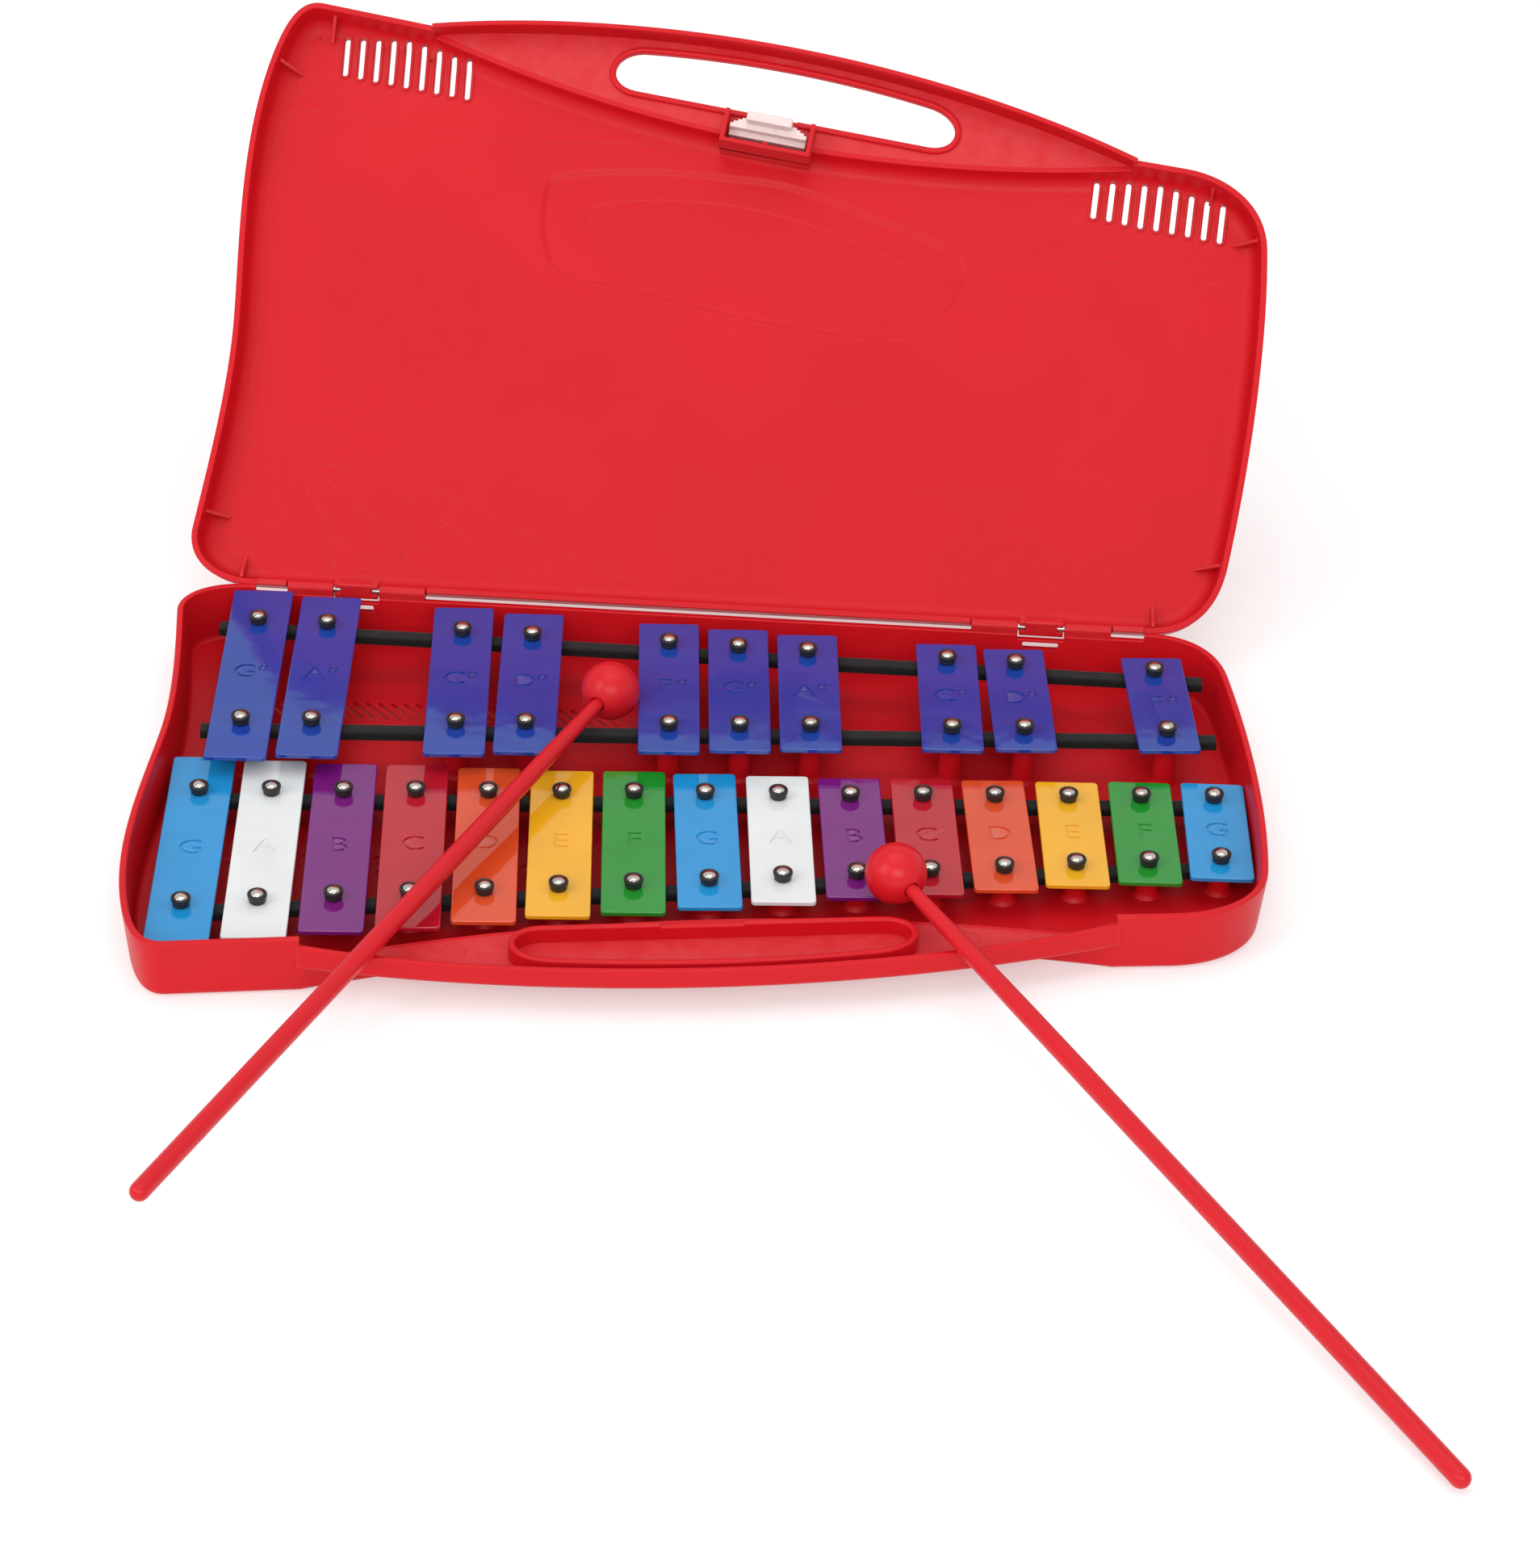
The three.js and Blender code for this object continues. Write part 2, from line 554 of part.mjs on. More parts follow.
HINGE_X.forEach((x, i) => {
  const pin = barrel(x - ZONE, x + ZONE, PIN_R, 10);
  glockenspiel.add(toMesh(`hinge_pin_${HINGE_NAMES[i]}`, pin, steel()));
});

const rows = new THREE.Group();
rows.position.set(ROW_AT.x, ROW_AT.y, 0);
rows.rotation.z = ROW_TURN;
for (const bar of naturals) {
  rows.add(barMesh(bar, NATURAL_TOP_Z));
}
for (const bar of sharps) {
  rows.add(barMesh(bar, SHARP_TOP_Z));
}
for (const row of pinRows) {
  const feltTop = row.topZ - BAR_THICK - GAP;
  rows.add(feltMesh(`felt_${row.place}`, row.points, feltTop, ...row.run));
  rows.add(pinRowMesh(`pins_${row.place}`, row.points, row.topZ));
}
glockenspiel.add(rows);

glockenspiel.add(malletMeshes('left', LEFT_HEAD, LEFT_AIM));
glockenspiel.add(malletMeshes('right', RIGHT_HEAD, RIGHT_AIM));

export default glockenspiel;
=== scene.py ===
"""A children's glockenspiel in its open carrying case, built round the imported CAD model.

Shapes are worked out in millimetres in the model's frame and turned into metres when a mesh is made.
The tray is drawn where it stands. The lid is drawn with its outer face down and then swung open.
"""

import json
import math

import bmesh
import bpy
from mathutils import Matrix, Vector, noise


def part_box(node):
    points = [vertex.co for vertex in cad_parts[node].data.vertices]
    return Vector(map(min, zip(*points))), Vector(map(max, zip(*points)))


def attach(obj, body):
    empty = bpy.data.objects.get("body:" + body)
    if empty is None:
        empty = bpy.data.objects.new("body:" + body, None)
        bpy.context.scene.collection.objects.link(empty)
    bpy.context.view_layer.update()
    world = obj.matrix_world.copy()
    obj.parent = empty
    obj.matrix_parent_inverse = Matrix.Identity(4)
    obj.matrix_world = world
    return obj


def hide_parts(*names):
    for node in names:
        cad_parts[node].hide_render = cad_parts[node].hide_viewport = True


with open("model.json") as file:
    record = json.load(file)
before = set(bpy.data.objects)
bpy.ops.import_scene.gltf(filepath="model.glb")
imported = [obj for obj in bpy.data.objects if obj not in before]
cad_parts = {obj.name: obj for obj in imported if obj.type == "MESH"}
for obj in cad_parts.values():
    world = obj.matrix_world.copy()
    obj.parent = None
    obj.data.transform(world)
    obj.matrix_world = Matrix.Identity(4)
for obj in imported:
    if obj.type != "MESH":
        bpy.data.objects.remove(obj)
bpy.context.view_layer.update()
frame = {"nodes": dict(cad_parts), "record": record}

MM = 0.001


def box_mm(node):
    low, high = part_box(node)
    return low / MM, high / MM


# -------------------- sizes, as in the CAD model
pin_boxes = [box_mm("hinge_pin_left"), box_mm("hinge_pin_right")]

HINGE_X = [(low.x + high.x) / 2 for low, high in pin_boxes]
HINGE_Y = (pin_boxes[0][0].y + pin_boxes[0][1].y) / 2
HINGE_Z = (pin_boxes[0][0].z + pin_boxes[0][1].z) / 2
LID_OPEN = math.radians(135.7)
TRAY_RIM = 20.8
REAR_RIM = 18.7
NOTCH_RIM = 17.0  # under the lid's knuckles
PARTING = 0.3  # gap between the closed halves
LID_TOP = 33.7
WALL = 2.2
FLOOR = 2.2
DRAFT = 2.0  # how far the walls lean in
REAR_CUT_X = 150.0  # half the length of the lowered rear edge
LID_CUT_X = REAR_CUT_X - 0.4

HANDLE_PART = 16.6  # where the handle's halves meet
TRAY_PLATE = 9.5
LID_PLATE = 26.8
RING_HIGH = 1.3  # how far the slot's ring stands up inside the lid
PLATE = 1.8
HANDLE_WALL = 1.8
RING_WALL = 2.2
END_RISE = 1.7
STEP_LEFT = Vector((-105, -103.6))  # ends of the handle's bow
STEP_RIGHT = Vector((139.4, -67.0))
RIM_STEP = 1.05  # how far in front of them the case's outline runs
BOW_OUT = 16.4  # how far the handle bows out in front of the line between its ends
BOW_IN = 15.0  # how far the case's front wall bows in behind it
FRONT_SLOPE = 0.1507  # the front edge is not square to the hinge

ZONE = 23.4  # half the width of a hinge
KNUCKLE = 7.4  # half the width of the lid's knuckle
TRAY_NOTCH_X = KNUCKLE + 0.4
LID_NOTCH_X = ZONE + 0.5
LUG_R = 2.1
ROD_R = 1.12
WINDOW_HALF = 6.0  # the window in the rear wall under each knuckle
WINDOW_LOW = 13.5
WINDOW_HIGH = 16.1
LATCH = Vector((14.2, -78.2))  # on the rear edge of the handle's slot
LATCH_TURN = math.atan(FRONT_SLOPE)
TRAY_GAP = 12.75  # half the gap in each slot ring for the latch
LID_GAP = 8.7
CATCH_DEEP = 0.6  # how far the tray's ring is cut down there
BOX_WIDTH = 31.6  # the box round the latch
BOX_NEAR = 2.3
BOX_REAR = 9.6
BOX_DEPTH = 14.4
BOX_WALL = 1.5
TOOTH_FOOT = 20.9  # height of the tooth behind the clip, with the lid closed

BAR_WIDTH = 20.0
BAR_CORNER_R = 1.3
HOLE_R = 2.0
SHORTEST = 53.5
LETTER_HIGH = 8.0
SHARP_MARK_HIGH = 4.2
HEAD_R = 9.6


# -------------------- plane curves
def bezier(p0, c0, c1, p1, n):
    """n points of a cubic, without its last one."""
    points = []
    for i in range(n):
        t = i / n
        s = 1 - t
        first = Vector(p0) * s**3 + Vector(c0) * 3 * s * s * t
        points.append(first + Vector(c1) * 3 * s * t * t + Vector(p1) * t**3)
    return points


def straight(p0, p1, n):
    return [Vector(p0).lerp(Vector(p1), i / n) for i in range(n)]


def arc(p0, p1, sagitta, n):
    """n points of an arc that bows by sagitta to its right-hand side, without its last one."""
    p0, p1 = Vector(p0), Vector(p1)
    chord = p1 - p0
    half = chord.length / 2
    radius = (half * half + sagitta * sagitta) / (2 * abs(sagitta))
    side = math.copysign(1, sagitta)
    right = Vector((chord.y, -chord.x)).normalized() * side
    centre = (p0 + p1) / 2 + right * (abs(sagitta) - radius)
    span = 2 * math.asin(min(1.0, half / radius)) * side
    start = math.atan2(p0.y - centre.y, p0.x - centre.x)
    angles = [start + span * i / n for i in range(n)]
    return [centre + radius * Vector((math.cos(a), math.sin(a))) for a in angles]


def spline(points, n, closed):
    """A smooth curve through points, with n steps between each two."""
    points = [Vector(p) for p in points]
    last = len(points) if closed else len(points) - 1
    out = []
    for i in range(last):
        if closed:
            a, b, c, d = (points[(i + k) % len(points)] for k in (-1, 0, 1, 2))
        else:
            a, b, c, d = (points[min(max(i + k, 0), len(points) - 1)] for k in (-1, 0, 1, 2))
        for k in range(n):
            t = k / n
            start = 2 * b + (c - a) * t + (2 * a - 5 * b + 4 * c - d) * t * t
            out.append(0.5 * (start + (3 * b - a - 3 * c + d) * t**3))
    if not closed:
        out.append(points[-1])
    return out


def offset(points, distance, closed=True):
    """points moved to their left by distance, with mitred corners."""
    count = len(points)
    out = []
    for i, p in enumerate(points):
        before = points[i - 1] if closed or i else None
        after = points[(i + 1) % count] if closed or i < count - 1 else None
        a = (p - before).normalized() if before is not None else None
        b = (after - p).normalized() if after is not None else None
        a = a if a is not None else b
        b = b if b is not None else a
        na, nb = Vector((-a.y, a.x)), Vector((-b.y, b.x))
        out.append(p + (na + nb) * (distance / max(0.35, 1 + na.dot(nb))))
    return out


def rounded(corners, steps=4, closed=False):
    """(u, v, radius) corners as a line of points, each corner with a radius turned into an arc."""
    out = []
    count = len(corners)
    for i, (u, v, radius) in enumerate(corners):
        p = Vector((u, v))
        if radius <= 0 or (not closed and i in (0, count - 1)):
            out.append(p)
            continue
        a = (Vector(corners[i - 1][:2]) - p).normalized()
        b = (Vector(corners[(i + 1) % count][:2]) - p).normalized()
        half = a.angle(b) / 2
        centre = p + (a + b).normalized() * (radius / math.sin(half))
        start = p + a * (radius / math.tan(half)) - centre
        end = p + b * (radius / math.tan(half)) - centre
        turn = start.angle(end)
        for k in range(steps + 1):
            t = k / steps
            swept = start * math.sin((1 - t) * turn) + end * math.sin(t * turn)
            out.append(centre + swept / math.sin(turn))
    return out


def circle(centre, radius, n):
    angles = [2 * math.pi * i / n for i in range(n)]
    return [Vector(centre) + radius * Vector((math.cos(a), math.sin(a))) for a in angles]


def stadium(centre, length, radius, turn=0.0, steps=6):
    """A slot with round ends, anticlockwise, along Y before its turn."""
    reach = length / 2 - radius
    points = []
    for side in (1, -1):
        for i in range(steps + 1):
            a = math.pi * i / steps + (0 if side > 0 else math.pi)
            points.append(Vector((radius * math.cos(a), side * reach + radius * math.sin(a))))
    spin = Matrix.Rotation(turn, 2)
    return [Vector(centre) + spin @ p for p in points]


def latch_point(along, back):
    """A point given along the handle's slot and back from its rear edge."""
    return LATCH + Matrix.Rotation(LATCH_TURN, 2) @ Vector((along, back))


# -------------------- solids
def carve(obj, tool):
    """Cuts one closed object out of another for good."""
    cut = obj.modifiers.new("carve", "BOOLEAN")
    cut.operation = "DIFFERENCE"
    cut.solver = "EXACT"
    cut.object = tool
    depsgraph = bpy.context.evaluated_depsgraph_get()
    done = bpy.data.meshes.new_from_object(obj.evaluated_get(depsgraph))
    obj.modifiers.remove(cut)
    obj.data = done
    obj.data.materials.clear()
    bpy.data.objects.remove(tool)


def shade(mesh, sharpest):
    """Smooth shading, broken at edges sharper than the angle given."""
    edit = bmesh.new()
    edit.from_mesh(mesh)
    for face in edit.faces:
        face.smooth = True
    for edge in edit.edges:
        edge.smooth = not edge.is_manifold or edge.calc_face_angle(0) < math.radians(sharpest)
    edit.to_mesh(mesh)
    edit.free()


def dress(obj, material, body, slot_name, replaces=(), smooth=38.0):
    """Shading and material, and what the piece rides on and stands for."""
    shade(obj.data, smooth)
    obj.data.materials.append(material)
    flat = obj.modifiers.new("even_shading", "WEIGHTED_NORMAL")
    flat.keep_sharp = True
    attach(obj, body)
    if replaces:
        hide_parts(*replaces)


class Solid:
    """Closed surfaces collected into one mesh. Points are in millimetres and go through place()."""

    def __init__(self, place=None):
        self.bm = bmesh.new()
        self.place = place or (lambda p: p)

    def ring(self, points, z=None):
        made = []
        for i, p in enumerate(points):
            height = z[i] if isinstance(z, list) else z
            q = Vector(p) if z is None else Vector((p[0], p[1], height))
            made.append(self.bm.verts.new(self.place(q) * MM))
        return made

    def bridge(self, a, b, closed=True):
        n = len(a)
        for i in range(n if closed else n - 1):
            j = (i + 1) % n
            self.bm.faces.new((a[i], a[j], b[j], b[i]))

    def fill(self, *rings):
        edges = []
        for ring in rings:
            for a, b in zip(ring, ring[1:] + ring[:1]):
                edges.append(self.bm.edges.get((a, b)) or self.bm.edges.new((a, b)))
        bmesh.ops.triangle_fill(self.bm, use_beauty=True, edges=edges)

    def stack(self, rings):
        """Rings joined one to the next, both ends filled."""
        for a, b in zip(rings, rings[1:]):
            self.bridge(a, b)
        self.fill(rings[0])
        self.fill(rings[-1])

    def prism(self, points, z0, z1, edge0=0.0, edge1=0.0, steps=3):
        """An anticlockwise outline between two heights, with its two end edges rounded."""
        corners = [(5, z0, 0), (0, z0, edge0), (0, z1, edge1), (5, z1, 0)]
        profile = rounded(corners, steps)[1:-1]
        self.stack([self.ring(offset(points, u), v) for u, v in profile])

    def band(self, points, profile, heights=None):
        """A closed outline swept by a closed profile of (inset, z)."""
        rings = []
        for u, v in profile:
            moved = offset(points, u)
            z = [heights(i, v) for i in range(len(points))] if heights else v
            rings.append(self.ring(moved, z))
        for a, b in zip(rings, rings[1:] + rings[:1]):
            self.bridge(a, b)

    def strip(self, points, profile, heights=None):
        """An open line swept by a closed profile of (inset, z), with flat ends."""
        rings = []
        for u, v in profile:
            z = [heights(i, v) for i in range(len(points))] if heights else v
            rings.append(self.ring(offset(points, u, closed=False), z))
        for a, b in zip(rings, rings[1:] + rings[:1]):
            self.bridge(a, b, closed=False)
        for end in (0, -1):
            self.bm.faces.new([ring[end] for ring in rings])

    def lathe(self, profile, sides, matrix):
        """(radius, height) points turned round the matrix's Z axis. The first and last radius are 0."""
        rings = []
        for r, z in profile[1:-1]:
            points = [matrix @ Vector((p.x, p.y, z)) for p in circle((0, 0), r, sides)]
            rings.append(self.ring(points))
        for a, b in zip(rings, rings[1:]):
            self.bridge(a, b)
        for pole, ring in ((profile[0], rings[0]), (profile[-1], rings[-1])):
            tip = self.ring([matrix @ Vector((0, 0, pole[1]))])[0]
            for i in range(sides):
                self.bm.faces.new((ring[i], ring[(i + 1) % sides], tip))

    def linked(self, name):
        """The surfaces as a mesh object in the scene."""
        bmesh.ops.recalc_face_normals(self.bm, faces=self.bm.faces)
        mesh = bpy.data.meshes.new(name)
        self.bm.to_mesh(mesh)
        self.bm.free()
        obj = bpy.data.objects.new(name, mesh)
        bpy.context.scene.collection.objects.link(obj)
        return obj

    def finish(self, name, material, body, slot_name, replaces=(), smooth=38.0, carved=None):
        """The mesh object, with the carved solid cut out of it, ready as a piece."""
        obj = self.linked(name)
        if carved:
            carve(obj, carved.linked("cutter"))
        dress(obj, material, body, slot_name, replaces, smooth)


# -------------------- materials
def new_material(name):
    material = bpy.data.materials.new(name)
    material.use_nodes = True
    tree = material.node_tree
    tree.nodes.clear()
    output = tree.nodes.new("ShaderNodeOutputMaterial")
    shader = tree.nodes.new("ShaderNodeBsdfPrincipled")
    tree.links.new(shader.outputs[0], output.inputs[0])
    return material, tree, shader


def noise_node(tree, scale, detail=3.0, roughness=0.55):
    coords = tree.nodes.new("ShaderNodeTexCoord")
    texture = tree.nodes.new("ShaderNodeTexNoise")
    texture.inputs["Scale"].default_value = scale
    texture.inputs["Detail"].default_value = detail
    texture.inputs["Roughness"].default_value = roughness
    tree.links.new(coords.outputs["Object"], texture.inputs["Vector"])
    return texture.outputs[0]


def spread(tree, source, low, high, start=0.3, end=0.7):
    node = tree.nodes.new("ShaderNodeMapRange")
    node.inputs["From Min"].default_value = start
    node.inputs["From Max"].default_value = end
    node.inputs["To Min"].default_value = low
    node.inputs["To Max"].default_value = high
    tree.links.new(source, node.inputs["Value"])
    return node.outputs["Result"]


def tint(colour, factor):
    return (*(min(1.0, c * factor) for c in colour), 1)


def blend_colours(tree, fac, a, b):
    mix = tree.nodes.new("ShaderNodeMix")
    mix.data_type = "RGBA"
    tree.links.new(fac, mix.inputs["Factor"])
    for value, socket in ((a, mix.inputs[6]), (b, mix.inputs[7])):
        if isinstance(value, tuple):
            socket.default_value = value
        else:
            tree.links.new(value, socket)
    return mix.outputs[2]


def bump(tree, height, strength, distance, previous=None):
    node = tree.nodes.new("ShaderNodeBump")
    node.inputs["Strength"].default_value = strength
    node.inputs["Distance"].default_value = distance
    tree.links.new(height, node.inputs["Height"])
    if previous is not None:
        tree.links.new(previous, node.inputs["Normal"])
    return node.outputs["Normal"]


def worn_edges(tree, fine):
    """0 on faces and up to 1 along outer edges, broken up by a fine noise."""
    geometry = tree.nodes.new("ShaderNodeNewGeometry")
    edge = spread(tree, geometry.outputs["Pointiness"], 0, 1, 0.53, 0.62)
    times = tree.nodes.new("ShaderNodeMath")
    times.operation = "MULTIPLY"
    tree.links.new(edge, times.inputs[0])
    tree.links.new(fine, times.inputs[1])
    return times.outputs[0]


def moulded_plastic(name, colour, roughness, grain, specular=0.22):
    """Satin plastic: a spark-eroded grain, faint flow shading, and paler rubbed edges."""
    material, tree, shader = new_material(name)
    broad = noise_node(tree, 18, 2)
    fine = noise_node(tree, 2600, 2)
    middle = noise_node(tree, 160, 4)
    patches = spread(tree, broad, 0, 1)
    flow = blend_colours(tree, patches, tint(colour, 0.965), tint(colour, 1.03))
    worn = worn_edges(tree, middle)
    pale = tuple(0.86 * c + 0.14 * (0.3 + c) for c in colour)
    tree.links.new(blend_colours(tree, worn, flow, tint(pale, 1)), shader.inputs["Base Color"])
    satin = spread(tree, middle, roughness - 0.04, roughness + 0.05)
    tree.links.new(satin, shader.inputs["Roughness"])
    small = bump(tree, fine, grain, 0.00006)
    tree.links.new(bump(tree, broad, 0.12, 0.0006, small), shader.inputs["Normal"])
    shader.inputs["Specular IOR Level"].default_value = specular
    shader.inputs["IOR"].default_value = 1.5
    return material


def lacquer(name, colour):
    """Stove enamel on steel: a slightly wavy gloss, with thinner paint on the edges."""
    material, tree, shader = new_material(name)
    broad = noise_node(tree, 55, 2)
    peel = noise_node(tree, 420, 2)
    dust = noise_node(tree, 3000, 1)
    patches = spread(tree, broad, 0, 1)
    body = blend_colours(tree, patches, tint(colour, 0.95), tint(colour, 1.05))
    worn = worn_edges(tree, dust)
    thin = tuple(0.8 * c + 0.1 for c in colour)
    tree.links.new(blend_colours(tree, worn, body, (*thin, 1)), shader.inputs["Base Color"])
    tree.links.new(spread(tree, peel, 0.05, 0.09), shader.inputs["Roughness"])
    wave = bump(tree, broad, 0.18, 0.0008)
    tree.links.new(bump(tree, peel, 0.05, 0.0001, wave), shader.inputs["Normal"])
    shader.inputs["IOR"].default_value = 1.55
    shader.inputs["Specular IOR Level"].default_value = 0.55
    return material


def metal(name, colour, roughness, brush):
    material, tree, shader = new_material(name)
    coarse = noise_node(tree, 240, 3)
    fine = noise_node(tree, brush, 4)
    patches = spread(tree, coarse, 0, 1)
    tone = blend_colours(tree, patches, tint(colour, 0.8), tint(colour, 1.08))
    tree.links.new(tone, shader.inputs["Base Color"])
    satin = spread(tree, fine, roughness * 0.7, roughness * 1.5)
    tree.links.new(satin, shader.inputs["Roughness"])
    tree.links.new(bump(tree, fine, 0.25, 0.00004), shader.inputs["Normal"])
    shader.inputs["Metallic"].default_value = 1.0
    return material


def black_rubber(name):
    material, tree, shader = new_material(name)
    coarse = noise_node(tree, 900, 3)
    fine = noise_node(tree, 4000, 2)
    tone = blend_colours(tree, coarse, (0.006, 0.006, 0.0065, 1), (0.022, 0.021, 0.02, 1))
    tree.links.new(tone, shader.inputs["Base Color"])
    tree.links.new(spread(tree, coarse, 0.38, 0.55), shader.inputs["Roughness"])
    tree.links.new(bump(tree, fine, 0.5, 0.00005), shader.inputs["Normal"])
    return material


def pressed_felt(name):
    material, tree, shader = new_material(name)
    fibres = noise_node(tree, 1500, 6, 0.75)
    clumps = noise_node(tree, 260, 3)
    tone = blend_colours(tree, fibres, (0.003, 0.003, 0.0035, 1), (0.02, 0.019, 0.019, 1))
    tree.links.new(tone, shader.inputs["Base Color"])
    tree.links.new(spread(tree, clumps, 0.85, 1.0), shader.inputs["Roughness"])
    matted = bump(tree, clumps, 0.7, 0.0004)
    tree.links.new(bump(tree, fibres, 0.9, 0.00025, matted), shader.inputs["Normal"])
    shader.inputs["Sheen Weight"].default_value = 0.15
    shader.inputs["Sheen Roughness"].default_value = 0.4
    shader.inputs["Specular IOR Level"].default_value = 0.15
    return material


def milky_plastic(name):
    material, tree, shader = new_material(name)
    cloud = noise_node(tree, 200, 3)
    fine = noise_node(tree, 2600, 2)
    tone = blend_colours(tree, cloud, (0.70, 0.56, 0.54, 1), (0.80, 0.68, 0.66, 1))
    tree.links.new(tone, shader.inputs["Base Color"])
    tree.links.new(spread(tree, cloud, 0.22, 0.34), shader.inputs["Roughness"])
    tree.links.new(bump(tree, fine, 0.2, 0.00005), shader.inputs["Normal"])
    shader.inputs["Subsurface Weight"].default_value = 0.5
    shader.inputs["Subsurface Radius"].default_value = (0.004, 0.003, 0.003)
    shader.inputs["IOR"].default_value = 1.49
    return material


case_red = moulded_plastic("case_red", (0.56, 0.005, 0.011), 0.42, 0.22)
mallet_red = moulded_plastic("mallet_red", (0.58, 0.010, 0.018), 0.3, 0.1)
felt_black = pressed_felt("felt_black")
rubber_black = black_rubber("grommet_rubber")
nickel = metal("pin_nickel", (0.66, 0.61, 0.55), 0.14, 1500)
steel = metal("hinge_steel", (0.55, 0.53, 0.5), 0.3, 2600)
latch_clear = milky_plastic("latch_clear")
BAR_COLOURS = {
    "bar_blue": (0.010, 0.245, 0.56),
    "bar_white": (0.68, 0.70, 0.70),
    "bar_purple": (0.155, 0.006, 0.16),
    "bar_red": (0.42, 0.006, 0.018),
    "bar_orange": (0.62, 0.065, 0.016),
    "bar_yellow": (0.76, 0.37, 0.010),
    "bar_green": (0.010, 0.235, 0.018),
    "bar_deep_blue": (0.008, 0.042, 0.30),
}
bar_paint = {slot_name: lacquer(slot_name, colour) for slot_name, colour in BAR_COLOURS.items()}


# -------------------- the case's outline
def with_steps(start, end, steps, spacing=14.0, gap=0.08):
    """Places along a straight edge, with a close pair at each step."""
    stops = sorted([start, end, *(s - gap for s in steps), *(s + gap for s in steps)], reverse=start > end)
    out = []
    for a, b in zip(stops, stops[1:]):
        n = max(1, round(abs(b - a) / spacing))
        out += [a + (b - a) * i / n for i in range(n)]
    return out


def case_outline(rear_steps):
    """The outline anticlockwise from the right end of the rear edge, and which part each point is on."""
    parts = [("rear", [Vector((x, HINGE_Y)) for x in with_steps(150.2, -152, rear_steps)])]
    left = bezier((-152, 100), (-163, 100), (-174.5, 94), (-174, 82), 16)
    left += bezier((-174, 82), (-171.5, 64), (-166.4, 34), (-166.4, 8), 14)
    left += bezier((-166.4, 8), (-166.8, -22), (-170.5, -60), (-161, -93), 18)
    left += bezier((-161, -93), (-157.6, -104.5), (-153.3, -112.5), (-145.3, -111.3), 16)
    step = Vector((0, RIM_STEP))
    left += straight((-145.3, -111.3), STEP_LEFT - step, 5) + [STEP_LEFT - step]
    parts.append(("side", left))
    start, end = STEP_LEFT - step, STEP_RIGHT - step
    along = (end - start).normalized()
    bowed = arc(start, end, -BOW_IN - RIM_STEP * 0.5, 44)
    bowed[0] = start + along * 0.1
    parts.append(("bow", bowed + [end - along * 0.1]))
    right = [end] + straight(end, (158, -65.6), 3)[1:]
    right += bezier((158, -65.6), (172, -63.5), (185.2, -54), (186.1, -38), 16)
    right += bezier((186.1, -38), (187.6, -4), (183.4, 38), (177.1, 75), 18)
    right += bezier((177.1, 75), (174.8, 88), (168, 100), (150.2, 100), 16)
    parts.append(("side", right))
    points = [p for _, group in parts for p in group]
    zones = [name for name, group in parts for _ in group]
    return points, zones


def shell(solid, points, rims, height, edges, openings=(), dish=None):
    """A case half: leaning walls, a rounded outer edge, and a floor with openings or a dished relief.
    Each point has its own rim height. edges are the radii at the floor, outside and inside."""
    lean = DRAFT / height
    profiles = []
    for rim in rims:
        outer = lean * (height - rim)
        inner = lean * (height - FLOOR) + WALL
        corners = [
            (DRAFT + 7, 0, 0),
            (DRAFT, 0, edges[0]),
            (outer, rim, 0.5),
            (outer + WALL, rim, 0.5),
            (inner, FLOOR, edges[1]),
            (inner + 6, FLOOR, 0),
        ]
        profiles.append(rounded(corners, 6))
    rings = []
    for k in range(len(profiles[0])):
        moved = []
        for i, p in enumerate(points):
            a = (p - points[i - 1]).normalized()
            b = (points[(i + 1) % len(points)] - p).normalized()
            na, nb = Vector((-a.y, a.x)), Vector((-b.y, b.x))
            q = p + (na + nb) * (profiles[i][k].x / (1 + na.dot(nb)))
            moved.append((q.x, q.y, profiles[i][k].y))
        rings.append(solid.ring(moved))
    for a, b in zip(rings, rings[1:]):
        solid.bridge(a, b)
    under, over = [rings[0]], [rings[-1]]
    for outline_at, profile in openings:
        sides = [solid.ring(outline_at(u), v) for u, v in profile]
        for a, b in zip(sides, sides[1:]):
            solid.bridge(a, b)
        over.append(sides[0])
        under.append(sides[-1])
    if dish:
        for side, face in ((over, FLOOR), (under, 0.0)):
            levels = [solid.ring(offset(outline, inset), face - depth) for outline, inset, depth in dish]
            for k in range(len(levels) - 1):
                if dish[k][0] is dish[k + 1][0]:
                    solid.bridge(levels[k], levels[k + 1])
                else:
                    solid.fill(levels[k], levels[k + 1])
            side.append(levels[0])
            solid.fill(levels[-1])
    solid.fill(*under)
    solid.fill(*over)


# -------------------- the handle
def slot_outline(steps):
    """The finger slot, anticlockwise, with close pairs on its rear edge at the steps given."""
    left = [latch_point(*p) for p in ((-48.5, 0), (-60.5, 0), (-60, -13.6), (-46.5, -14.6))]
    right = [latch_point(*p) for p in ((51.5, -14.6), (66, -13.2), (66.5, 0), (54.5, 0))]
    points = [latch_point(x, 0) for x in with_steps(54.5, -48.5, steps, 12.0)]
    return points + bezier(*left, 16) + arc(left[-1], right[0], 2.9, 22) + bezier(*right, 16)


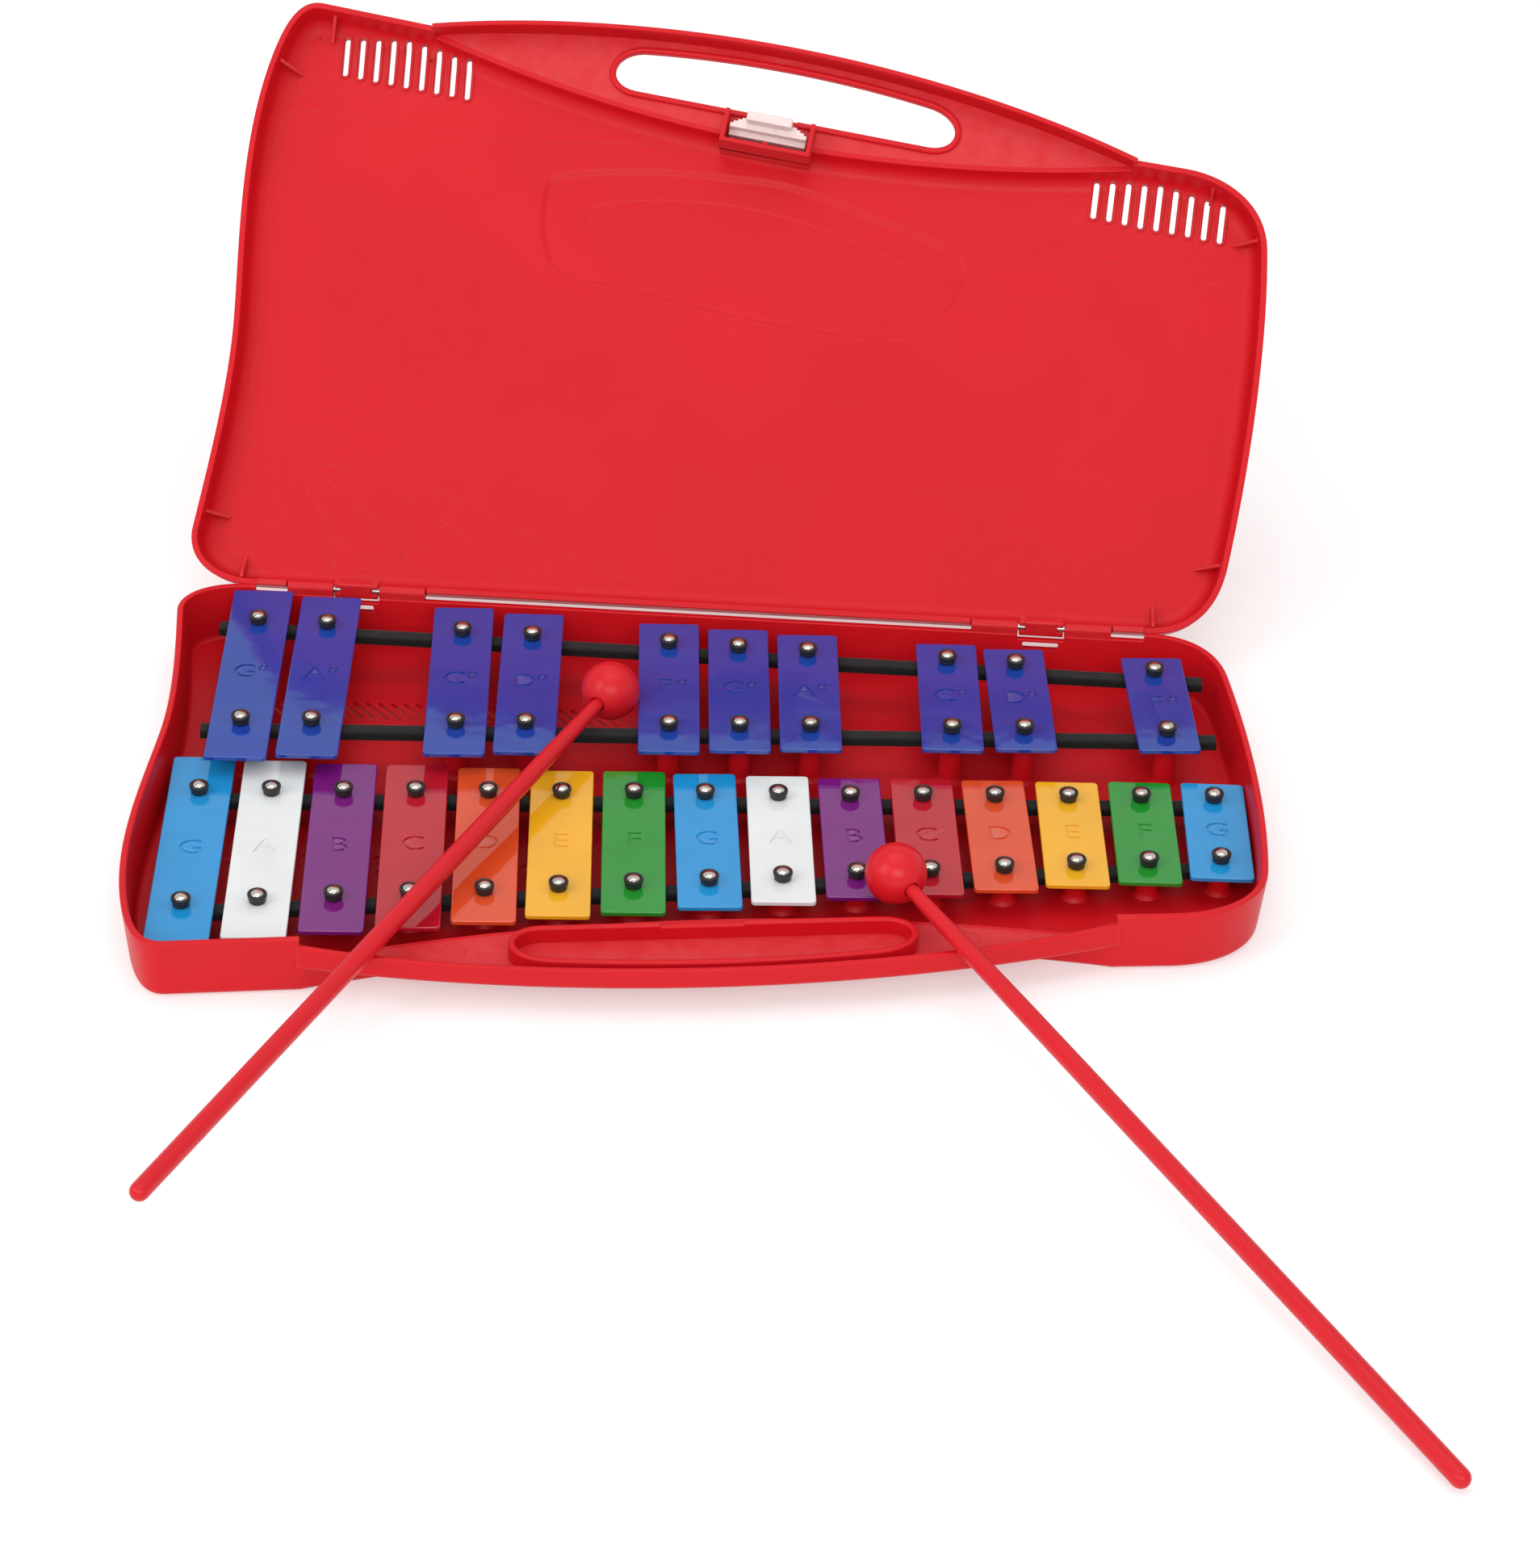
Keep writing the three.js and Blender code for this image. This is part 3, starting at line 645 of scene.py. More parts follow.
def handle_half(solid, face, part, end_rise, ring_top, blind, gap, gap_floor):
    """Plate, front wall and ring of one handle half, from its outer face to where the halves part.
    A blind slot has the plate for its floor. The ring is cut down to gap_floor for gap either side of the
    latch. The front wall's edge moves by end_rise over the last fifth at either end."""
    slot_points = slot_outline([-gap, gap])
    step = Vector((0, RIM_STEP))
    front = arc(STEP_LEFT - step, STEP_RIGHT - step, BOW_OUT - RIM_STEP, 40) + [STEP_RIGHT - step]
    back = arc(STEP_RIGHT, STEP_LEFT, BOW_IN, 40) + [STEP_LEFT]
    # The plate ends inside the walls round it.
    plate_edge = offset(front, HANDLE_WALL / 2, closed=False) + [p + Vector((0, 1.3)) for p in back]
    low, high = face, face + PLATE - 0.04
    outer_rings = [solid.ring(plate_edge, z) for z in (low, high)]
    solid.bridge(*outer_rings)
    if blind:
        solid.fill(outer_rings[0])
        solid.fill(outer_rings[1])
    else:
        hole = offset(slot_points, -RING_WALL / 2)
        inner_rings = [solid.ring(hole, z) for z in (low, high)]
        solid.bridge(*inner_rings)
        solid.fill(outer_rings[0], inner_rings[0])
        solid.fill(outer_rings[1], inner_rings[1])
    wall = [(0, face, 1.6), (0, part, 0.6), (HANDLE_WALL, part, 0.6), (HANDLE_WALL, face, 0.2)]
    edge_line = [STEP_LEFT + Vector((-1.2, -1.0)), *front, STEP_RIGHT + Vector((1.2, -0.65))]

    def edge_heights(i, z):
        near_end = max(0.0, abs(2 * i / (len(edge_line) - 1) - 1) - 0.6) / 0.4
        return face + (z - face) * (part + end_rise * near_end**2 - face) / (part - face)

    solid.strip(edge_line, rounded(wall, 5, closed=True), edge_heights)
    ring = [(0, face, 0.7), (0, ring_top, 1.0), (-RING_WALL, ring_top, 1.0), (-RING_WALL, face, 0.3)]

    def heights(i, z):
        local = Matrix.Rotation(-LATCH_TURN, 2) @ (slot_points[i] - LATCH)
        if abs(local.x) < gap and abs(local.y) < 0.5:
            return face + (z - face) * (gap_floor - face) / (ring_top - face)
        return z

    solid.band(slot_points, rounded(ring, 5, closed=True), heights)


def ridge(solid, points, z, width=0.5, height=0.16, closed=False):
    """A faint raised line on the floor."""
    profile = [(-width / 2, z - 0.1), (-width / 4, z + height), (width / 4, z + height), (width / 2, z - 0.1)]
    if closed:
        solid.band(points, profile)
    else:
        solid.strip(points, profile)


# -------------------- tray
SLIT_PITCH = 4.3
SLIT_LONG = 13.0
SLIT_R = 0.62
SLIT_TURN = math.radians(42)
SLIT_PROFILE = [(0.2, FLOOR), (0.06, FLOOR - 0.05), (0.0, FLOOR - 0.2), (0.0, 0.2), (0.2, 0.0)]


def slit_openings(first, last, lean):
    """A row of sound slits in the floor, as outlines that grow and the profile they follow."""
    first, last = Vector(first), Vector(last)
    count = round((last - first).length / SLIT_PITCH)
    cuts = []
    for i in range(count + 1):
        at = first.lerp(last, i / count)

        def grown(grow, at=at):
            return stadium(at, SLIT_LONG + 2 * grow, SLIT_R + grow, lean, 3)

        cuts.append((grown, SLIT_PROFILE))
    return cuts


knuckle_edges = [x + s * TRAY_NOTCH_X for x in HINGE_X for s in (-1, 1)]
tray_points, tray_zones = case_outline([-REAR_CUT_X, REAR_CUT_X, *knuckle_edges])


def tray_rim(point, zone):
    if zone == "bow":
        return TRAY_PLATE + PLATE
    if zone == "rear" and abs(point.x) < REAR_CUT_X:
        beside = min(abs(point.x - x) for x in HINGE_X)
        return NOTCH_RIM if beside < TRAY_NOTCH_X else REAR_RIM
    return TRAY_RIM


tray = Solid()
tray_rims = [tray_rim(p, z) for p, z in zip(tray_points, tray_zones)]
slits = slit_openings((-137, 52), (-18, 57), SLIT_TURN)
slits += slit_openings((-138, -36), (-40, -36), -SLIT_TURN)
shell(tray, tray_points, tray_rims, TRAY_RIM, (2.6, 1.7), slits)
windows = Solid()
for x in HINGE_X:
    corners = [(x + s * WINDOW_HALF, WINDOW_LOW, 0.6) for s in (-1, 1)]
    corners += [(x + s * WINDOW_HALF, WINDOW_HIGH, 0.6) for s in (1, -1)]
    side_on = rounded(corners, 3, closed=True)
    windows.stack([windows.ring([(p.x, y, p.y) for p in side_on]) for y in (HINGE_Y - 8, HINGE_Y + 4)])
tray.finish("tray_shell", case_red, "case", "case_red", ["tray"], carved=windows)

tray_handle = Solid()
catch_floor = HANDLE_PART - CATCH_DEEP
handle_half(tray_handle, TRAY_PLATE, HANDLE_PART, END_RISE, HANDLE_PART, True, TRAY_GAP, catch_floor)
for spot in ((-60, -92), (95, -70)):
    ridge(tray_handle, circle(spot, 3.4, 32), TRAY_PLATE + PLATE - 0.04, closed=True)
tray_handle.finish("tray_handle", case_red, "case", "case_red")


# -------------------- bars and what holds them
def node_reach(length):
    """How far a bar's two pins sit from its middle."""
    longer = length - SHORTEST
    return length / 2 - (9.6 + 0.13 * longer + 0.0018 * longer * longer)


def bar_facts(node):
    """Centre, direction along the bar, length, and the heights of its two faces, from the CAD node."""
    mesh = frame["nodes"][node].data
    best = Vector((0, 0))
    for edge in mesh.edges:
        a, b = (mesh.vertices[i].co for i in edge.vertices)
        run = (b - a).xy / MM
        if run.length > best.length and abs(run.y) > abs(run.x) * 3:
            best = run
    if best.y < 0:
        best = -best
    low, high = box_mm(node)
    return {
        "node": node,
        "centre": (low + high).xy / 2,
        "along": best.normalized(),
        "length": best.length,
        "low": low.z,
        "high": high.z,
    }


slots_of = {part["node"]: part["material_slot"] for part in frame["record"]["subparts"]}
bar_nodes = sorted(name for name in slots_of if name.startswith("bar_"))
bars = [bar_facts(name) for name in bar_nodes]
for bar in bars:
    side = Vector((bar["along"].y, -bar["along"].x))
    bar["side"] = side
    bar["sharp"] = "sharp" in bar["node"]
    reach = bar["along"] * node_reach(bar["length"])
    bar["pins"] = {"rear": bar["centre"] + reach, "front": bar["centre"] - reach}


def letter_mesh(text, height, at):
    """A letter as a closed slab in Blender's own font, in millimetres. Its size is 1.38 times its height."""
    curve = bpy.data.curves.new("letter", "FONT")
    curve.body = text
    curve.size = height * 1.38
    curve.align_x = "CENTER"
    curve.align_y = "CENTER"
    curve.extrude = 0.5
    curve.resolution_u = 4
    obj = bpy.data.objects.new("letter", curve)
    bpy.context.scene.collection.objects.link(obj)
    depsgraph = bpy.context.evaluated_depsgraph_get()
    mesh = bpy.data.meshes.new_from_object(obj.evaluated_get(depsgraph))
    bpy.data.objects.remove(obj)
    for vertex in mesh.vertices:
        vertex.co.xy += Vector(at)
    return mesh


def bar_solid(bar):
    """A plate with rounded corners, softened edges and two drilled holes."""
    half_width, half_length = BAR_WIDTH / 2, bar["length"] / 2
    corners = [(-1, -1), (1, -1), (1, 1), (-1, 1)]
    corners = [(x * half_width, y * half_length, BAR_CORNER_R) for x, y in corners]
    outline = rounded(corners, 6, closed=True)
    long_edge = []
    for a, b in zip(outline, outline[1:] + outline[:1]):
        count = max(1, round((b - a).length / 12))
        long_edge += straight(a, b, count)
    holes = [circle((0, s * node_reach(bar["length"])), HOLE_R, 28) for s in (-1, 1)]
    thick = bar["high"] - bar["low"]
    solid = Solid()
    profile = rounded([(5, 0, 0), (0, 0, 0.25), (0, thick, 0.42), (5, thick, 0)], 4)[1:-1]
    rings = [solid.ring(offset(long_edge, u), v) for u, v in profile]
    for a, b in zip(rings, rings[1:]):
        solid.bridge(a, b)
    low, high = [rings[0]], [rings[-1]]
    for hole in holes:
        drilled = ((0.3, 0), (0, 0.3), (0, thick - 0.3), (0.3, thick))
        sides = [solid.ring(offset(hole, -u), v) for u, v in drilled]
        for a, b in zip(sides, sides[1:]):
            solid.bridge(a, b)
        low.append(sides[0])
        high.append(sides[-1])
    solid.fill(*low)
    solid.fill(*high)
    return solid


def engrave(obj, mesh, top, depth=0.4):
    """Cuts the letter mesh into the bar's top face."""
    cutter = bpy.data.objects.new("cutter", mesh)
    bpy.context.scene.collection.objects.link(cutter)
    for vertex in mesh.vertices:
        vertex.co.z = (top + 1.0 if vertex.co.z > 0 else top - depth) * MM
        vertex.co.x *= MM
        vertex.co.y *= MM
    carve(obj, cutter)


for bar in bars:
    obj = bar_solid(bar).linked("plate_" + bar["node"])
    note = bar["node"].split("_")[-1].upper()
    thick = bar["high"] - bar["low"]
    engrave(obj, letter_mesh(note, LETTER_HIGH, (-1.6 if bar["sharp"] else 0, 0)), thick)
    if bar["sharp"]:
        engrave(obj, letter_mesh("#", SHARP_MARK_HIGH, (4.2, 2.6)), thick)
    edit = bmesh.new()
    edit.from_mesh(obj.data)
    across, along = bar["side"], bar["along"]
    turn = Matrix(((across.x, along.x, 0), (across.y, along.y, 0), (0, 0, 1))).to_4x4()
    place = Matrix.Translation((*bar["centre"] * MM, bar["low"] * MM)) @ turn
    bmesh.ops.transform(edit, matrix=place, verts=edit.verts)
    edit.to_mesh(obj.data)
    edit.free()
    slot_name = slots_of[bar["node"]]
    dress(obj, bar_paint[slot_name], "case", slot_name, [bar["node"]], smooth=32)

# A row's name, whether it is raised, its end of the bars, and how far its felt runs past its outer pins.
ROWS = [
    ("accidental_rear", True, "rear", 13, 16),
    ("accidental_front", True, "front", 13, 16),
    ("natural_rear", False, "rear", 10, 7.5),
    ("natural_front", False, "front", 9.5, 8.5),
]
FELT_WIDTH = 5.6
GROMMET = [(0, 0.02), (2.3, 0.02), (2.62, 0.2), (2.72, 0.75), (2.66, 1.05), (2.74, 1.3), (3.0, 1.9)]
GROMMET += [(3.08, 2.5), (3.0, 2.95), (2.78, 3.2), (2.5, 3.22), (2.3, 3.05), (2.24, 2.7), (0, 2.7)]
DOME = [(0, 2.6), (2.16, 2.6), (2.16, 2.86), (2.02, 3.08), (1.7, 3.32), (1.25, 3.52), (0.65, 3.66), (0, 3.7)]


def felt_strip(row, pins, run_left, run_right):
    """A strip of felt along a row of pins, its faces and sides slightly uneven."""
    felt = Solid()
    low, high = (v.z for v in box_mm("felt_" + row))
    row_dir = (pins[-1] - pins[0]).normalized()
    line = [pins[0] - row_dir * run_left, *pins, pins[-1] + row_dir * run_right]
    dense = []
    for a, b in zip(line, line[1:]):
        dense += straight(a, b, max(2, round((b - a).length / 1.6)))
    dense.append(line[-1])
    half = FELT_WIDTH / 2
    section = [(-half, low, 0.5), (-half, high, 0.8), (half, high, 0.8), (half, low, 0.5)]
    section = rounded(section, 3, closed=True)
    rings = []
    for k, (u, v) in enumerate(section):
        ring = []
        for p in offset(dense, u, closed=False):
            fuzz = 0.16 * noise.noise((p.x * 0.55, p.y * 0.55, v * 0.8 + k))
            z = v + (0.12 * noise.noise((p.x * 0.4, p.y * 0.4, 9.0)) - 0.1 if v > low + 1 else 0)
            ring.append((p.x, p.y + math.copysign(fuzz, u), z))
        rings.append(felt.ring(ring))
    for a, b in zip(rings, rings[1:] + rings[:1]):
        felt.bridge(a, b, closed=False)
    for end in (0, -1):
        felt.bm.faces.new([ring[end] for ring in rings])
    felt.finish("felt_strip_" + row, felt_black, "case", "felt_black", ["felt_" + row], smooth=70)


posts = Solid()
for row, sharp, side, run_left, run_right in ROWS:
    chosen = [bar for bar in bars if bar["sharp"] == sharp]
    pins = [bar["pins"][side] for bar in chosen]
    top = chosen[0]["high"]
    felt_low = box_mm("felt_" + row)[0].z
    heads, grommets = Solid(), Solid()
    for i, at in enumerate(pins):
        tilt = Matrix.Rotation(0.05 * noise.noise((at.x * 0.3, at.y * 0.3, 1.7)), 4, "X")
        lift = 0.06 + 0.2 * abs(noise.noise((at.x, at.y, 4.0)))
        place = Matrix.Translation((at.x, at.y, top + lift)) @ tilt @ Matrix.Rotation(i * 0.7, 4, "Z")
        grommets.lathe(GROMMET, 36, place)
        heads.lathe(DOME, 32, place)
        shank = Matrix.Translation((at.x, at.y, 0))
        heads.lathe([(0, felt_low - 1), (1.05, felt_low - 1), (1.05, top + 0.3), (0, top + 0.3)], 16, shank)
        foot = felt_low - 0.06
        post = [(0, 1.4), (5.2, 1.4), (4.7, FLOOR + 0.1), (3.9, FLOOR + 0.9), (3.62, FLOOR + 2)]
        post += [(3.4, foot - 0.4), (3.2, foot - 0.1), (2.9, foot), (0, foot)]
        posts.lathe(post, 28, shank)
    heads.finish("pin_heads_" + row, nickel, "case", "pin_nickel", ["pins_" + row], smooth=60)
    grommets.finish("grommets_" + row, rubber_black, "case", "pin_nickel", smooth=60)
    felt_strip(row, pins, run_left, run_right)
posts.finish("tray_posts", case_red, "case", "case_red", smooth=50)


# -------------------- hinges
def hinge_part(solid, x0, x1, section):
    """A (y, z) section drawn along X, with its two end edges softened."""
    ends = ((x0, 0.35), (x0 + 0.12, 0.1), (x0 + 0.35, 0), (x1 - 0.35, 0), (x1 - 0.12, 0.1), (x1, 0.35))
    solid.stack([solid.ring([(x, p.x, p.y) for p in offset(section, inset)]) for x, inset in ends])


def lug_section(radius, web_z):
    """Round barrel on the hinge axis with a web down to the rear wall it grows from."""
    points = [Vector((HINGE_Y - radius, web_z)), Vector((HINGE_Y, web_z))]
    for i in range(15):
        a = math.pi * i / 14
        points.append(Vector((HINGE_Y, HINGE_Z)) + radius * Vector((math.cos(a), math.sin(a))))
    return points


lugs = Solid()
for x in HINGE_X:
    for s in (-1, 1):
        x0, x1 = sorted((x + s * TRAY_NOTCH_X, x + s * ZONE))
        hinge_part(lugs, x0, x1, lug_section(LUG_R, 13.0))
lugs.finish("tray_hinge_lugs", case_red, "case", "case_red")

for name, (low, high) in zip(("left", "right"), pin_boxes):
    pin = Solid()
    axis = Matrix.Translation((low.x, HINGE_Y, HINGE_Z)) @ Matrix.Rotation(math.pi / 2, 4, "Y")
    long = high.x - low.x
    profile = [(0, 0), (0.85, 0), (ROD_R, 0.3), (ROD_R, long - 0.3), (0.85, long), (0, long)]
    pin.lathe(profile, 24, axis)
    pin.finish(f"hinge_rod_{name}", steel, f"pin_{name}", "steel", [f"hinge_pin_{name}"])


# -------------------- lid
open_turn = Matrix.Translation((0, HINGE_Y, HINGE_Z)) @ Matrix.Rotation(-LID_OPEN, 4, "X")
open_turn = open_turn @ Matrix.Translation((0, -HINGE_Y, -HINGE_Z))


def swung(p):
    """From the closed lid to where the open lid holds that point."""
    return open_turn @ p


def lid_place(p):
    """From heights above the lid's outer face, outer face down, to the open lid."""
    return swung(Vector((p.x, p.y, LID_TOP - p.z)))


# Heights above the lid's outer face.
LID_RIM = LID_TOP - TRAY_RIM - PARTING
LID_SKIRT = LID_TOP - REAR_RIM - PARTING
LID_NOTCH = LID_TOP - HINGE_Z - 3.0
LID_FACE = LID_TOP - LID_PLATE
LID_PART = LID_TOP - HANDLE_PART - PARTING

notch_edges = [x + s * LID_NOTCH_X for x in HINGE_X for s in (-1, 1)]
lid_points, lid_zones = case_outline([-LID_CUT_X, LID_CUT_X, *notch_edges])


def lid_rim(point, zone):
    if zone == "bow":
        return LID_FACE + PLATE
    if zone != "rear" or abs(point.x) > LID_CUT_X:
        return LID_RIM
    beside = min(abs(point.x - x) for x in HINGE_X)
    return LID_NOTCH if beside < LID_NOTCH_X else LID_SKIRT


VENT_R = 0.95
VENT_CUT = (-3.0, 5.5)  # heights that a slot is cut between
LEFT_FRONTS = [-102.8, -102.8, -102.8, -102.8, -102.6, -101.3, -99.8, -97.8, -96.4]
LEFT_REARS = [-88.5, -87.6, -86.8, -86.0, -85.1, -84.5, -83.5, -82.8, -81.9]
RIGHT_FRONTS = [-62.9, -63.1, -63.3, -62.9, -62.8, -61.4, -59.9, -58.3, -56.6]
RIGHT_REARS = [-49.5, -48.7, -47.7, -46.7, -46.1, -45.3, -44.5, -43.6, -42.7]


def vent_places(first, last, fronts, rears, lean):
    """Middle, length and turn of each vent slot in a corner of the lid."""
    places = []
    for i, (front, rear) in enumerate(zip(fronts, rears)):
        x = first + (last - first) * i / (len(fronts) - 1)
        places.append((Vector((x, (front + rear) / 2)), rear - front, lean))
    return places


vents = vent_places(-136.9, -93.4, LEFT_FRONTS, LEFT_REARS, 0.0)
vents += vent_places(127.0, 170.7, RIGHT_FRONTS, RIGHT_REARS, math.radians(4))


def anticlockwise(points):
    turning = sum(a.cross(b) for a, b in zip(points, points[1:]))
    return points if turning > 0 else points[::-1]


OVAL = spline(
    [(-59, -57), (-65, -48), (-63.5, -29), (-56, -18.8), (-30, -13.5), (9, -5.5), (46, -1), (70, -3.5)]
    + [(79, -12), (85, -28.5), (76, -37.8), (52, -47), (23, -56.8), (-6, -59.7), (-29, -60.3)],
    6,
    True,
)
INNER_OVAL = spline(
    [(-44, -46.5), (-49.2, -40.5), (-45, -36.3), (-17, -22), (8, -18.4), (45, -17.6), (62, -21.3)]
    + [(65.3, -27.5), (58, -32.2), (38, -40), (10, -47.5), (-20, -49.5)],
    6,
    True,
)
OVAL, INNER_OVAL = anticlockwise(OVAL), anticlockwise(INNER_OVAL)
# Outline, inset and depth at each level of the relief.
DISH = [(OVAL, u, d) for u, d in ((0, 0), (0.7, 0.1), (1.6, 0.5), (2.5, 0.9), (3.2, 1.0))]
DISH += [(INNER_OVAL, u, d) for u, d in ((0, 1.0), (0.35, 1.12), (0.7, 1.25), (1.0, 1.28))]

lid = Solid(lid_place)
lid_rims = [lid_rim(p, z) for p, z in zip(lid_points, lid_zones)]
shell(lid, lid_points, lid_rims, LID_RIM, (6.5, 5.5), dish=DISH)
vent_cuts = Solid(lid_place)
borders = Solid(lid_place)
for at, length, turn in vents:
    vent_cuts.prism(stadium(at, length, VENT_R, turn), *VENT_CUT)
    ridge(borders, stadium(at, length + 1.3, VENT_R + 0.65, turn), FLOOR, 1.1, 0.8, closed=True)
lid.finish("lid_shell", case_red, "lid", "case_red", ["lid"], carved=vent_cuts)
borders.finish("lid_vent_borders", case_red, "lid", "case_red", smooth=80)

lid_handle = Solid(lid_place)
ring_floor = LID_FACE + PLATE
handle_half(lid_handle, LID_FACE, LID_PART, -END_RISE, ring_floor + RING_HIGH, False, LID_GAP, ring_floor)
lid_handle.finish("lid_handle", case_red, "lid", "case_red")

# Faint flow lines left by the mould, as points on smooth curves.
LID_LINES = [
    [(-41, -68.8), (-67, -67.5), (-87.5, -68.4), (-118.3, -71.6), (-144, -74.8), (-152.8, -75), (-157, -71.5)]
    + [(-158.8, -64.7), (-160.3, -46.4), (-160.4, -25), (-159, -4), (-159, 10.5), (-159.8, 27.5)]
    + [(-160.4, 39.4), (-158.8, 45.4), (-155.6, 49), (-150, 51.5), (-133.3, 52.8), (-112.7, 55.8)]
    + [(-88.6, 62), (-74, 67.4)]
    + [(-44.8, 80.9), (-24, 89.4)],
    [(-41, -68.8), (-3, -67), (30.6, -62), (50.2, -57.2), (69, -50.8), (86.7, -43.5), (110, -37.9)]
    + [(140.5, -32.9), (174, -27)],
    [(-133.3, 52.8), (-120, 56.8), (-102.6, 64), (-85.7, 74.4), (-72.6, 85), (-66, 91)],
    [(-131.4, 58.4), (-115.2, 71.2), (-102.9, 83.2), (-94.5, 90.6)],
    [(-102.9, 83.2), (-98, 90)],
    [(-137.8, 61.7), (-132.3, 70.2), (-127.9, 77.8), (-125.2, 90)],
    [(-128, 76.8), (-123.3, 82.4)],
]
lines = Solid(lid_place)
for path in LID_LINES:
    ridge(lines, spline(path, 6, False), FLOOR)
for spot in ((-160.5, 84.5), (-115.7, 87), (116.6, 84.2), (158, 85), (-150, -84), (-84, -88), (174.5, -44)):
    ridge(lines, circle(spot, 3.1, 32), FLOOR, 0.45, 0.14, closed=True)
lines.finish("lid_mould_lines", case_red, "lid", "case_red", smooth=80)

ribs = Solid(lid_place)


def gusset(at, inward, reach=8.0, height=7.4, thick=1.2):
    """A small triangular rib between a wall and the floor."""
    inward = Vector(inward).normalized()
    across = Vector((-inward.y, inward.x)) * (thick / 2)
    at = Vector(at)
    corners = [(2.2, FLOOR - 0.3), (reach, FLOOR - 0.3), (reach, FLOOR + 0.6)]
    corners += [(0.6, FLOOR + height), (-1.0, FLOOR + height), (-1.0, FLOOR + 4.2)]
    sides = []
    for s in (-1, -0.75, 0.75, 1):
        inset = 0.18 if abs(s) == 1 else 0.0
        outline = offset([Vector(c) for c in corners], inset)
        sides.append(ribs.ring([(*(at + across * s + inward * u), v) for u, v in outline]))
    ribs.stack(sides)


gusset((-156, 95.6), (0, -1))
gusset((-170.4, 74), (1, 0))
gusset((153, 95.6), (0, -1))
gusset((174.5, 74), (-1, 0))
gusset((-159.0, -90.6), (1, 0.35))
gusset((-141, -108.2), (-0.15, 1))
gusset((167, -60.5), (-0.1, 1), reach=4.2)
gusset((183, -42), (-1, 0))
ribs.finish("lid_ribs", case_red, "lid", "case_red")

half_box = BOX_WIDTH / 2
inner_box = half_box - BOX_WALL
inner_back = BOX_DEPTH - BOX_WALL


def u_outline(near):
    """Plan of the box round the latch, open towards the slot."""
    outer = [(half_box, near), (half_box, BOX_DEPTH), (-half_box, BOX_DEPTH), (-half_box, near)]
    inner = [(-inner_box, near), (-inner_box, inner_back), (inner_box, inner_back), (inner_box, near)]
    return [latch_point(*p) for p in outer + inner]


housing = Solid(lid_place)
housing.prism(u_outline(BOX_NEAR), LID_FACE + 0.6, LID_PART, 0.0, 0.4)
housing.prism(u_outline(BOX_REAR), FLOOR - 0.4, LID_FACE + 2.0)
tooth = [(-0.7, inner_back - 1.2), (0.7, inner_back - 1.2), (0.7, inner_back + 0.3), (-0.7, inner_back + 0.3)]
housing.prism([latch_point(*p) for p in tooth], LID_TOP - TOOTH_FOOT, LID_PART - 0.6, 0.0, 0.25)
housing.finish("latch_housing", case_red, "lid", "case_red")


def knuckle_section(low, high, radii):
    """The knuckle's (y, z) section between two heights about the hinge axis, with its four corner radii."""
    corners = [(-1.8, low), (2.6, low), (2.6, high), (-1.8, high)]
    corners = [(HINGE_Y + y, HINGE_Z + z, radius) for (y, z), radius in zip(corners, radii)]
    return rounded(corners, 3, closed=True)


knuckles = Solid()
KNUCKLE_BLOCK = knuckle_section(-2.6, 3.0, (0.8, 0.5, 0.8, 0.8))
LOW_HALF = knuckle_section(-2.6, -0.6, (0.8, 0.5, 0.2, 0.2))
HIGH_HALF = knuckle_section(1.5, 3.0, (0.2, 0.2, 0.6, 0.6))
for x in HINGE_X:
    hinge_part(knuckles, x - KNUCKLE + 2, x + KNUCKLE - 2, KNUCKLE_BLOCK)
    for s in (-1, 1):
        x0, x1 = sorted((x + s * KNUCKLE, x + s * (KNUCKLE - 2.2)))
        for half in (LOW_HALF, HIGH_HALF):
            hinge_part(knuckles, x0, x1, half)
knuckles.finish("lid_knuckles", case_red, "lid", "case_red")
knuckle_webs = Solid(swung)
for x in HINGE_X:
    web = [Vector((HINGE_Y + y, HINGE_Z + z)) for y, z in ((-2.1, 0), (-0.2, 0), (-0.2, 4.6), (-2.1, 4.6))]
    hinge_part(knuckle_webs, x - KNUCKLE + 1, x + KNUCKLE - 1, web)
knuckle_webs.finish("lid_knuckle_webs", case_red, "lid", "case_red")


# -------------------- latch
clip = Solid(swung)
clip_low = HANDLE_PART + PARTING
clip_high = LID_PLATE - PLATE - PARTING
tab = rounded([(-8, 2.8, 0.7), (8, 2.8, 0.7), (8, 6.2, 0.7), (-8, 6.2, 0.7)], 4, closed=True)
clip.prism([latch_point(*p) for p in tab], clip_low - 2.2, clip_high, 0.6, 0.3)
half_wing = [(8, 4.3), (9.6, 4.3), (9.6, 5.0), (11, 5.0), (11, 5.8), (12.4, 5.8)]
half_wing += [(12.4, 6.6), (13.5, 6.6), (13.5, 8.2)]
wing = half_wing + [(-x, y) for x, y in reversed(half_wing)]
clip.prism([latch_point(*p) for p in wing], clip_low + 1.8, clip_high, 0.25, 0.25)
shelf = [(-13.5, 8.0, 0), (-12.2, 7.0, 0), (12.2, 7.0, 0), (13.5, 8.0, 0)]
shelf += [(13.5, 10.2, 0.3), (-13.5, 10.2, 0.3)]
shelf = rounded(shelf, 2, closed=True)
clip.prism([latch_point(*p) for p in shelf], clip_low + 4.6, clip_high, 0.2, 0.2)
clip.finish("latch_clip_moulding", latch_clear, "latch", "latch_clear", ["latch_clip"])


